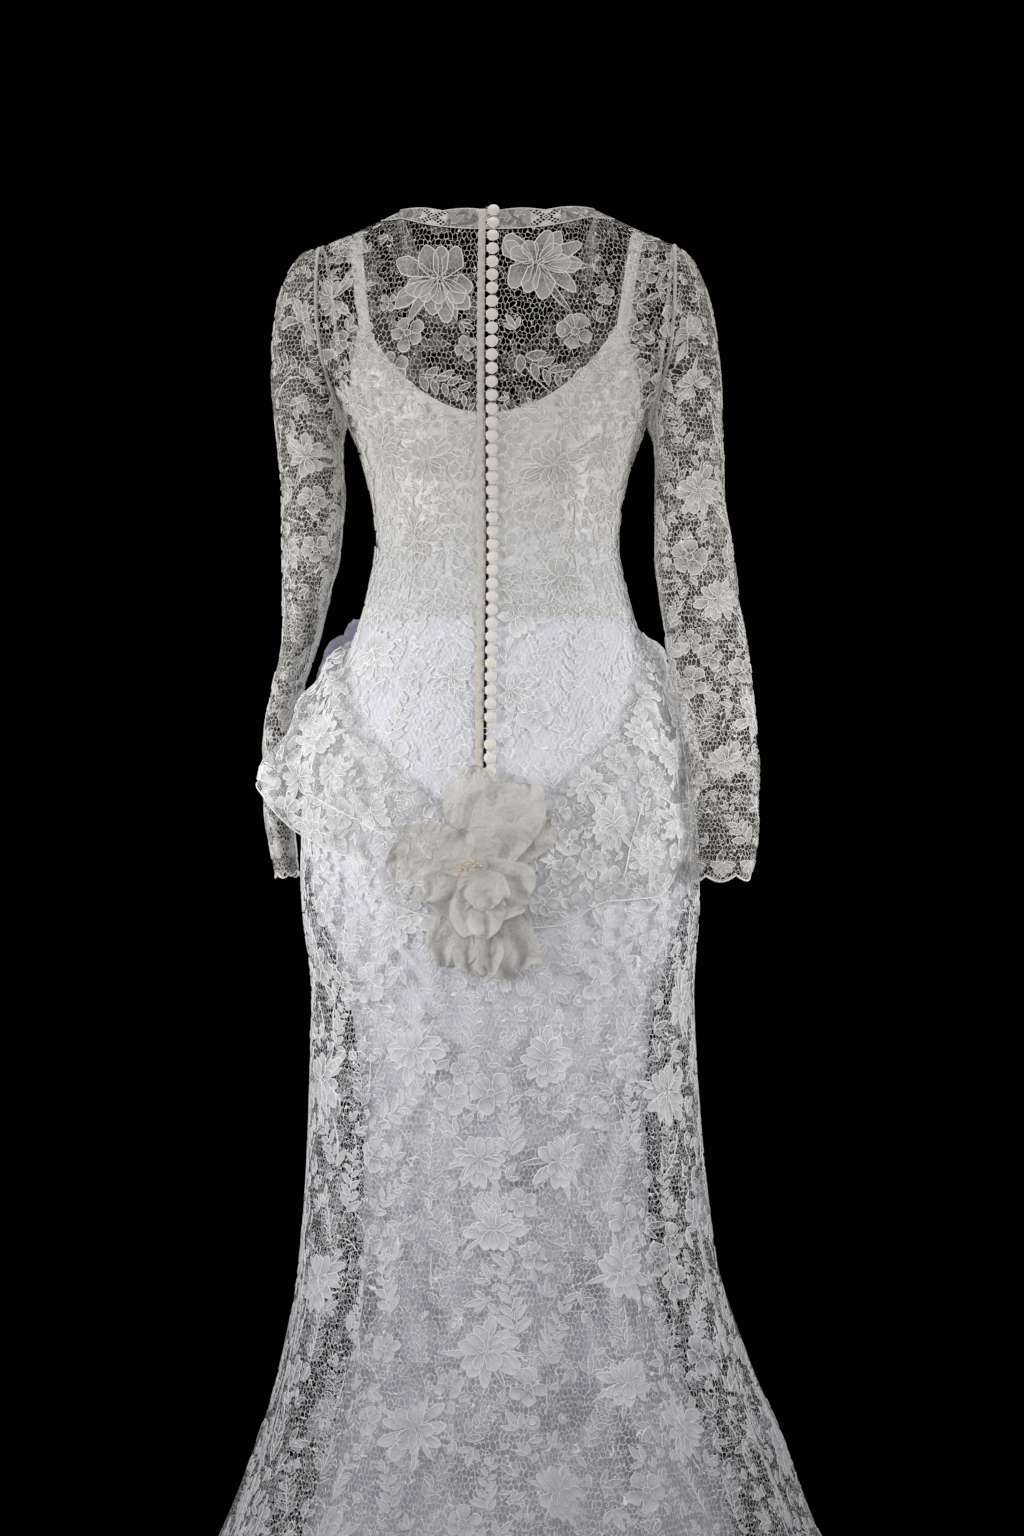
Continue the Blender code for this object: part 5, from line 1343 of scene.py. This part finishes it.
class GOWN_OT_fastening(bpy.types.Operator):
    """Neck band, loop strip, button loops and covered buttons"""
    bl_idname = "gown.fastening"
    bl_label = "Neck band and fastening"

    def execute(self, context):
        self.neck_border()
        low, high = BUTTON_LOW - BUTTON_RADIUS, STRIP_TOP
        z = np.linspace(low, high, 300)
        h = self.height_to_h(z)[:, None]
        across = np.linspace(1, 0, 7)[None, :]
        uneven = 0.0005 * np.sin(z[:, None] * 611 + 2 * across) + 0.0004 * np.sin(z[:, None] * 1370)
        x = LEFT_EDGE + STRIP_WIDTH * across * 0.94 + uneven * (across > 0.5)
        off = 0.0018 + 0.0006 * np.sin(np.pi * across) + 0.0003 * np.sin(z[:, None] * 900 + 5 * across)
        strip = cloth_piece("loop_facing", moved(form, turn_at(x, h + 0 * x), h + 0 * x, off), thickness=0.0008)
        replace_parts(dress(strip, "facing"), "loop_strip")
        self.buttons()
        return {"FINISHED"}

    def height_to_h(self, z):
        """The parameter h on the centre back that has a given height."""
        h = np.linspace(-0.6, TOP, 800)
        return np.interp(z, form(90.0 + 0 * h, h)[:, 2], h)

    def neck_border(self):
        """The border as the solid's strips, two at the back and one round the front, with corded edges."""
        across = np.linspace(0, 1, 9)[:, None]
        neck_turn = math.degrees(math.acos(NECK_HALF / YOKE_BACK["x_edge"][-1]))

        def strip(along, back):
            low_turn, high_turn = 90 - along * (90 - BAND_TURN), 90 - along * (90 - neck_turn)
            share = BAND_BACK if back else BAND_FRONT
            low = TOP - YOKE * share * (1 - along ** 3)
            wave = np.abs(np.sin(np.pi * BAND_SCALLOPS / 2 * (along if back else 2 - along)))
            high = TOP - BAND_SCALLOP * (1 - wave) * (1 - along ** 6)
            theta = low_turn + (high_turn - low_turn) * across
            h = low + SEAM / 2 + (high - low - SEAM / 2) * across
            theta = theta if back else 360 - theta
            return moved(form, theta, h, LACE_MIDDLE + 0 * theta)

        along = np.linspace(0, 1, 80)
        h = np.linspace(TOP - YOKE * BAND_BACK + SEAM / 2, TOP, 9)
        backs, fronts = [], []
        for edge, side in ((LEFT_EDGE, 1), (-RIGHT_EDGE, -1)):
            rear = strip(along, True)
            rear[:, 0] = moved(form, turn_at(edge, h), h, LACE_MIDDLE + 0 * h)
            backs.append((rear * (side, 1, 1), abs(edge), LADDER_FROM_CENTRE[0 if side == 1 else 1], side == 1))
            fronts.append(strip(along[::-1], False) * (side, 1, 1))
        front = np.concatenate([fronts[0], fronts[1][:, -2::-1]], 1)
        for name, grids, turned in (("neck_border_back", backs, "back"),
                                    ("neck_border_front", [(front, 0.0, 0.0, True)], "front")):
            points, faces, uvs, edges, start = [], [], [], [], 0
            for grid, edge, first, flip in grids:
                flat = lay_flat(grid)
                flat[..., 0] += (edge - first - flat[:, :1, 0]) if turned == "back" else 0
                flat[..., 1] = BAND_WIDE * across
                faces.append(grid_faces(*grid.shape[:2], flip=flip) + start)
                points.append(grid.reshape(-1, 3))
                uvs.append(flat.reshape(-1, 2))
                edges += [grid[0] + (0, CORD_OFF if turned == "back" else -CORD_OFF, 0), grid[-1]]
                start += len(points[-1])
            made = build(name, np.concatenate(points), faces, np.concatenate(uvs))
            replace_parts(dress(made, "neck_lace", turned), "neck_band")
            dress(cords(name.replace("border", "cords"), edges, 0.0006), "bodice_motif", turned)
            0.024 if turned == "back" else 0.06
            0.34 if turned == "back" else 0.40

    def buttons(self):
        """Domes on flat backs, at an even spacing down the right back's edge, without the missing one, and a cord
        loop from the strip under each."""
        place = np.array([k for k in range(1, BUTTON_PLACES + 1) if k != BUTTON_MISSING])
        every = np.arange(1, BUTTON_PLACES + 1)
        z = BUTTON_TOP + (BUTTON_LOW - BUTTON_TOP) * (every - 1) / (BUTTON_PLACES - 1)
        h = self.height_to_h(z)
        turn = turn_at(0.0, h)
        out = outward(form, turn, h)
        ground = form(turn, h)
        right = np.tile([-1.0, 0, 0], (len(h), 1))
        up = np.cross(out, right)
        has = np.isin(every, place)
        ring = round_turns(20)
        profile = np.array([(0.0, 0.0), (0.86, 0.02), (1.0, 0.20), (0.97, 0.42), (0.82, 0.68), (0.52, 0.90),
                            (0.24, 0.98), (0.0, 1.0)])
        rad, hgt = np.maximum(profile[:, 0], 0.01) * BUTTON_RADIUS, profile[:, 1] * BUTTON_HEIGHT + BUTTON_SEAT
        points = (ground[has, None, None] + out[has, None, None] * hgt[None, :, None, None]
                  + rad[None, :, None, None] * (right[has, None, None] * np.cos(ring)[None, None, :, None]
                                                + up[has, None, None] * np.sin(ring)[None, None, :, None]))
        faces = repeated(grid_faces(len(profile), 20, closed=True), len(place), len(profile) * 20)
        made = build("covered_buttons", points, [faces])
        dress(made, "button_satin")
        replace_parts(made, *[f"button_{k:02d}" for k in place])
        f = np.linspace(-1, 1, 13)
        reach = LOOP_ROOT - LOOP_LONG * np.cos(np.pi / 2 * f) ** 0.7
        rise = LOOP_WIDE * np.sin(np.pi / 2 * f) + 0.0004 * np.sin(every * 2.3)[:, None]
        paths = (ground[:, None] - right[:, None] * reach[None, :, None] + up[:, None] * rise[..., None]
                 + out[:, None] * (BUTTON_SEAT + 0.0012 * np.abs(f) ** 3)[None, :, None])
        points, faces = tube(paths, LOOP_RADIUS, 4)
        solid = np.ones(len(points))
        loops = build("button_loops", points, [faces], marks={"rim": solid, "dense": solid})
        dress(loops, "bodice_motif")


# Drapes and flowers

def drape_form(rows, theta, down):
    """A point of a drape: down goes from 1 at the hem to 0 at the upper edge. Pleats lie along it, and finer
    gathers run across them."""
    top, hem = at(rows, "top", theta), at(rows, "hem", theta)
    z = top + (hem - top) * down
    pleat = DRAPE_PLEAT * (1 - np.cos(2 * np.pi * DRAPE_PLEATS * down))
    off = WALL + DRAPE_GAP + pleat + at(rows, "lift", theta) * down ** 2
    off = off + at(rows, "puff", theta) * np.sin(np.pi * down)
    gather = np.abs(np.sin(theta * 0.21 + 2.6 * down)) + 0.6 * np.abs(np.sin(theta * 0.47 - 3.1 * down + 1.0))
    gather = gather + 0.5 * np.abs(np.sin(theta * 0.09 + 6.0 * down + 0.7))
    off = off + 0.0024 * gather * ramp(0, 0.15, down) * (1 - 0.5 * ramp(0.9, 1, down))
    return moved(form, theta, z, off)


WINDOW = (12.0, 7.0, -0.62, 0.24)       # theta, half its width, share down, half its height: net without motifs
# theta and z along each piped or rolled line of the drapes
PIPING = {
    "left": [[(30, -0.574), (40, -0.586), (50, -0.598), (63, -0.617)]],
    "right": [[(138, -0.570), (134, -0.584), (130, -0.620), (126, -0.660)],
              [(166, -0.568), (160, -0.584), (148, -0.586), (141, -0.576)]],
}
# theta, z and radius of the main flowers on the drapes
DRAPE_SITES = {
    "left": [(30, -0.520, 0.030), (56, -0.590, 0.026), (40, -0.555, 0.024), (20, -0.500, 0.024)],
    "right": [(124, -0.604, 0.030), (136, -0.636, 0.028), (150, -0.600, 0.026), (118, -0.562, 0.024),
              (152, -0.540, 0.028), (164, -0.500, 0.026), (140, -0.520, 0.024)],
}


class GOWN_OT_drapes(bpy.types.Operator):
    """Gathered drapes over the hips"""
    bl_idname = "gown.drapes"
    bl_label = "Hip drapes"

    def execute(self, context):
        for side, rows, columns, area in (("left", DRAPE_LEFT, 110, 0.050), ("right", DRAPE_RIGHT, 200, 0.108)):
            name = "hip_drape_" + side
            first, last = rows["theta"].min(), rows["theta"].max()
            theta = np.linspace(first, last, columns)[None, :]
            down = np.linspace(1, 0, 40)[:, None]
            made = cloth_piece("tulle_drape_" + side, drape_form(rows, theta + 0 * down, down + 0 * theta))
            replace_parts(dress(made, "drape_tulle"), name)
            cloth = Cloth(lambda u, v: drape_form(rows, u, -v), (first, last), (-1, 0), (240, 90))

            def inside(u, v):
                open_net = ((u - WINDOW[0]) / WINDOW[1]) ** 2 + ((v - WINDOW[2]) / WINDOW[3]) ** 2 < 1
                return (u > first) & (u < last) & (v > -1) & (v < -0.02) & ~(open_net & (side == "left"))

            def share(theta, z):
                top, hem = at(rows, "top", theta), at(rows, "hem", theta)
                return (z - top) / (hem - top)

            kinds = [("full", 0.026, 0.12, 900, 12, 0.95, 0, 3), ("five", 0.0165, 0.15, 2000, 40, 0.9, 0, 3),
                     ("spray", 0.020, 0.15, 2000, 18, 0.9, 0.6, 0.8), ("rosette", 0.0065, 0.2, 2000, 10, 0.9, 0, 3),
                     ("sprig", 0.010, 0.2, 4000, 90, 0.9, 0, 3), ("tendril", 0.011, 0.2, 4000, 90, 0.8, 0, 3),
                     ("bud", 0.0065, 0.2, 4000, 80, 0.9, 0, 3)]
            main = [("full", t, -float(share(t, z)), r, t, 1.0) for t, z, r in DRAPE_SITES[side]]
            placed = scatter(cloth, (first, last), (-0.97, -0.04), kinds, 51, inside, main, 0.82)
            motifs = lace_motifs("motifs_drape_" + side, cloth, placed, 52, inside=inside, off=0.0005)
            dress(motifs, "drape_motif")
            paths = []
            for line in PIPING[side]:
                t, z = np.array(line, float).T
                f = np.linspace(0, len(t) - 1, 40)
                t, z = np.interp(f, np.arange(len(t)), t), np.interp(f, np.arange(len(z)), z)
                t, z = (np.convolve(np.pad(a, 4, mode="edge"), np.ones(9) / 9, "valid") for a in (t, z))
                paths.append(cloth.place(t, -share(t, z), 0.0012 + 0 * t))
            t = np.linspace(first, last, columns)
            paths.append(cloth.place(t, -1 + 0 * t, 0 * t))
            dress(cords("piping_" + side, paths, 0.0008), "skirt_motif")
        return {"FINISHED"}


PETAL_COLUMNS = "angle length width lift cup ruffle rise tone"
BACK_ROSE = table(PETAL_COLUMNS, [
    (38, 0.086, 0.044, 0.003, 0.003, 0.003, 0, 0.35), (92, 0.102, 0.06, 0.003, 0.004, 0.003, 0.001, 0.6),
    (63, 0.1, 0.062, 0.006, 0.004, 0.003, 0.003, 0.8), (166, 0.084, 0.076, 0.004, 0.004, 0.004, 0.002, 0.75),
    (252, 0.094, 0.058, 0.004, 0.004, 0.005, 0.001, 0.3), (292, 0.106, 0.06, 0.005, 0.005, 0.005, 0.003, 0.15),
    (271, 0.1, 0.048, 0.006, 0.005, 0.005, 0.005, 0.45), (208, 0.052, 0.056, 0.006, 0.005, 0.005, 0.006, 0.6),
    (330, 0.054, 0.058, 0.007, 0.006, 0.005, 0.008, 0.45), (272, 0.062, 0.048, 0.007, 0.006, 0.006, 0.009, 0.7),
    (112, 0.044, 0.062, 0.007, 0.006, 0.004, 0.009, 0.65), (300, 0.036, 0.04, 0.006, 0.006, 0.006, 0.012, 0.4),
])
HIP_FLOWER = table(PETAL_COLUMNS, [
    (8, 0.064, 0.056, 0.014, 0.004, 0.002, 0, 0.7), (62, 0.056, 0.044, 0.016, 0.005, 0.002, 0.001, 0.9),
    (130, 0.05, 0.046, 0.01, 0.005, 0.002, 0.002, 0.5), (205, 0.052, 0.05, 0.008, 0.005, 0.002, 0.001, 0.3),
    (285, 0.058, 0.05, 0.01, 0.005, 0.002, 0, 0.5),
])
PETAL_SEAT, PETAL_ROWS, PETAL_POINTS = 0.012, 28, 29
CREASE_WAVES = ((0.056, 1.0), (0.038, 0.8), (0.027, 0.6), (0.018, 0.45), (0.012, 0.3))      # length, height
BEADS, BEAD_RADIUS, BEAD_HEIGHT = 30, 0.0013, 0.030


def crumple(x, y, rng, size):
    """Crisp creases: a sum of waves |sin| in random directions, 12 to 56 mm long."""
    total = 0 * x
    for length, height in CREASE_WAVES:
        turn, phase = rng.uniform(0, 2 * np.pi, 2)
        along = x * math.cos(turn) + y * math.sin(turn) + 0.004 * np.sin(60 * (y * math.cos(turn) - x * math.sin(turn)))
        total = total + height * (np.abs(np.sin(np.pi * along / length + phase)) - 0.6)
    return size * total


def flower_petals(name, rows, place, creases, seed):
    """Petals as grids, at r half as wide as (1 - |2 r ** 1.25 - 1| ** 2.6) ** (1 / 2.6) of their width, so that their
    ends are round, with a ragged, ruffled edge and creases."""
    grids, flats, tones = [], [], []
    rng = np.random.default_rng(seed)
    r = ((1 - np.cos(np.linspace(0.08, np.pi, PETAL_ROWS))) / 2)[:, None]
    s = np.linspace(-1, 1, PETAL_POINTS)[None, :]
    for k in range(len(rows["angle"])):
        row = {column: float(values[k]) for column, values in rows.items()}
        shape = (1 - np.abs(2 * r ** 1.25 - 1) ** 2.6) ** (1 / 2.6)
        ragged = 1 + 0.035 * np.sin(5 * s * shape + 2 * k) * r ** 3 + 0.015 * np.sin(14 * s * shape + k) * r ** 4
        broad = row["width"] / 2 * shape * (1 + 0.06 * np.sin(9 * r + k))
        along, sideways = row["length"] * r * ragged, broad * s
        out = PETAL_SEAT + row["rise"] + row["lift"] * r ** 1.5 + row["cup"] * s ** 2 * r
        out = out + row["ruffle"] * np.sin(2.2 * np.pi * s + row["angle"]) * r ** 2 * 0.6
        out = np.maximum(out + crumple(along, sideways, rng, creases) * (0.5 + 0.5 * r), 0.004 + row["rise"])
        flats.append(np.stack([sideways + 0.2 * k, along], -1).reshape(-1, 2))
        tones.append(np.full(PETAL_ROWS * PETAL_POINTS, row["tone"]))
        grids.append(place(*rotated(along, sideways, math.radians(row["angle"])), out))
    return build(name, *joined(grids, flip=True), np.concatenate(flats), {"tone": np.concatenate(tones)})


class GOWN_OT_flowers(bpy.types.Operator):
    """Organza rose at the end of the buttons, with its beads, and the small flower on the hip"""
    bl_idname = "gown.flowers"
    bl_label = "Fabric flowers"

    def execute(self, context):
        def on_back(across, up, out):
            x, z = ROSE_X - across, ROSE_Z + up
            return moved(form, turn_at(x, z), z, out)

        def on_hip(across, up, out):
            theta = HIP_FLOWER_TURN + np.degrees(across / HIP_FLOWER_REACH)
            return moved(form, theta, HIP_FLOWER_Z + up, out)

        rose = flower_petals("organza_rose", BACK_ROSE, on_back, 0.0042, 61)
        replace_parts(dress(rose, "rose_organza"), "back_rose")
        flower = flower_petals("lilac_flower", HIP_FLOWER, on_hip, 0.0016, 62)
        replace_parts(dress(flower, "lilac_organza"), "hip_flower")
        self.beads(on_back)
        return {"FINISHED"}

    def beads(self, place):
        """A loose cluster of small round beads in the middle of the rose."""
        rng = np.random.default_rng(63)
        turn, reach = rng.uniform(0, 2 * np.pi, BEADS), 0.011 * np.sqrt(rng.uniform(0, 1, BEADS))
        across, up = -0.006 + reach * np.cos(turn), 0.005 + 0.75 * reach * np.sin(turn) + 0.3 * reach * np.cos(turn)
        middle = place(across, up, BEAD_HEIGHT + rng.uniform(-0.002, 0.002, BEADS))
        u, v = np.linspace(0, 2 * np.pi, 9)[:-1][None, :], np.linspace(-1, 1, 6)[:, None] * np.pi / 2
        ball = np.stack([np.cos(v) * np.cos(u), np.cos(v) * np.sin(u), np.sin(v) + 0 * u], -1).reshape(-1, 3)
        points = middle[:, None] + BEAD_RADIUS * ball[None] * rng.uniform(0.8, 1.2, BEADS)[:, None, None]
        faces = repeated(grid_faces(6, 8, closed=True), BEADS, len(ball))
        dress(build("rose_beads", points, [faces]), "gold_beads")


# Stage

CAMERA_AZIMUTH, CAMERA_ELEVATION, CAMERA_DISTANCE, CAMERA_LENS = 183.0, 0.0, 3.6, 82.0
CAMERA_TARGET = Vector((-0.015, 0.0, -0.547))
FLOOR_MIDDLE = (-0.02, 0.25)


def looking(scene, data, target, azimuth, elevation, distance):
    """A camera or lamp that looks at a target from a distance in a direction."""
    a, e = math.radians(azimuth), math.radians(elevation)
    direction = Vector((math.sin(a) * math.cos(e), -math.cos(a) * math.cos(e), math.sin(e)))
    holder = bpy.data.objects.new(data.name, data)
    holder.location = target + direction * distance
    holder.rotation_euler = (-direction).to_track_quat("-Z", "Y").to_euler()
    scene.collection.objects.link(holder)
    return holder


LAMP_DISTANCE = 1.3
WHITE, WARM = (1.0, 0.985, 0.965), (1.0, 0.98, 0.955)
# name, azimuth, elevation, size, spread, power, colour, height aimed at, the side it lights
LIGHTS = [
    ("key", 122, 3, 0.5, 120, 5.1, WHITE, -0.56, "back"),
    ("middle", 183, 3, 0.5, 120, 1.4, WHITE, -0.56, "back"),
    ("fill", 244, 3, 0.5, 120, 4.1, WARM, -0.56, "back"),
    ("top", 183, 72, 0.6, 70, 1.9, WARM, -0.02, "back"),
    ("front_key", 58, 3, 0.5, 120, 5.1, WHITE, -0.56, "front"),
    ("front_middle", 0, 3, 0.5, 120, 1.4, WHITE, -0.56, "front"),
    ("front_fill", -64, 3, 0.5, 120, 4.1, WARM, -0.56, "front"),
    ("front_top", 0, 72, 0.6, 70, 1.2, WARM, -0.02, "front"),
]


class GOWN_OT_stage(bpy.types.Operator):
    """Pale floor, soft studio lights and the camera"""
    bl_idname = "gown.stage"
    bl_label = "Stage"

    def execute(self, context):
        scene = context.scene
        turn = round_turns(96)
        z = CAD_BOX[0][2] - 0.001
        radii = np.array([0.6, 0.45, 0.3, 0.15, 0.01])[:, None]
        x, y = FLOOR_MIDDLE
        disc = np.stack([x + radii * np.cos(turn), y + radii * np.sin(turn), z + 0 * radii * turn], -1)
        mesh = bpy.data.meshes.new("floor")
        mesh.from_pydata(disc.reshape(-1, 3).tolist(), [], grid_faces(5, 96, closed=True).tolist())
        floor = bpy.data.objects.new("floor", mesh)
        scene.collection.objects.link(floor)
        pale = Fabric("pale_floor", (0.62, 0.62, 0.63), 0.9, 0.0)
        pale.tint((0.60, 0.60, 0.61), (0.64, 0.64, 0.65), pale.noise(3.0))
        mesh.materials.append(pale.material)
        self.lights(scene)
        camera = bpy.data.cameras.new("camera")
        camera.lens, camera.sensor_width = CAMERA_LENS, 36.0
        scene.camera = looking(scene, camera, CAMERA_TARGET, CAMERA_AZIMUTH, CAMERA_ELEVATION, CAMERA_DISTANCE)
        return {"FINISHED"}

    def lights(self, scene):
        """A nearly black room and large soft lamps; those of one side leave out the pieces of the other."""
        world = bpy.data.worlds.new("dark_studio")
        world.use_nodes = True
        room = world.node_tree.nodes["Background"]
        room.inputs["Color"].default_value = (0.0005, 0.0005, 0.0006, 1)
        room.inputs["Strength"].default_value = 1.0
        scene.world = world
        scene.view_settings.view_transform = "Standard"
        for name, azimuth, elevation, size, spread, power, colour, aim, lit in LIGHTS:
            lamp = bpy.data.lights.new(name, "AREA")
            lamp.shape, lamp.size, lamp.energy, lamp.color = "SQUARE", size, power, colour
            lamp.spread = math.radians(spread)
            holder = looking(scene, lamp, Vector((0, 0, aim)), azimuth, elevation, LAMP_DISTANCE)
            holder.visible_camera = False
            unlit = bpy.data.collections.new(name + "_leaves_out")
            for piece in TURNED["front" if lit == "back" else "back"]:
                unlit.objects.link(piece)
            holder.light_linking.receiver_collection = unlit
            for entry in unlit.collection_objects:
                entry.light_linking.link_state = "EXCLUDE"


# Add-on

OPERATORS = (GOWN_OT_slip, GOWN_OT_bodice_lace, GOWN_OT_skirt_lace, GOWN_OT_sleeves, GOWN_OT_fastening,
             GOWN_OT_drapes, GOWN_OT_flowers, GOWN_OT_stage)


class GOWN_PT_panel(bpy.types.Panel):
    """Lists the gown's pieces in the sidebar"""
    bl_idname = "GOWN_PT_panel"
    bl_label = "Lace gown"
    bl_space_type = "VIEW_3D"
    bl_region_type = "UI"
    bl_category = "Gown"

    def draw(self, context):
        for group in (context.scene.gown_sizes, context.scene.gown_colours):
            for key in group.__annotations__:
                self.layout.prop(group, key)
        for operator in OPERATORS:
            self.layout.operator(operator.bl_idname)


CLASSES = (GownSizes, GownColours, *OPERATORS, GOWN_PT_panel)


def register():
    for cls in CLASSES:
        bpy.utils.register_class(cls)
    bpy.types.Scene.gown_sizes = bpy.props.PointerProperty(type=GownSizes)
    bpy.types.Scene.gown_colours = bpy.props.PointerProperty(type=GownColours)


def unregister():
    del bpy.types.Scene.gown_colours
    del bpy.types.Scene.gown_sizes
    for cls in reversed(CLASSES):
        bpy.utils.unregister_class(cls)


def main():
    register()
    for operator in OPERATORS:
        group, name = operator.bl_idname.split(".")
        getattr(getattr(bpy.ops, group), name)()
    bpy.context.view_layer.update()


if __name__ == "__main__":
    main()
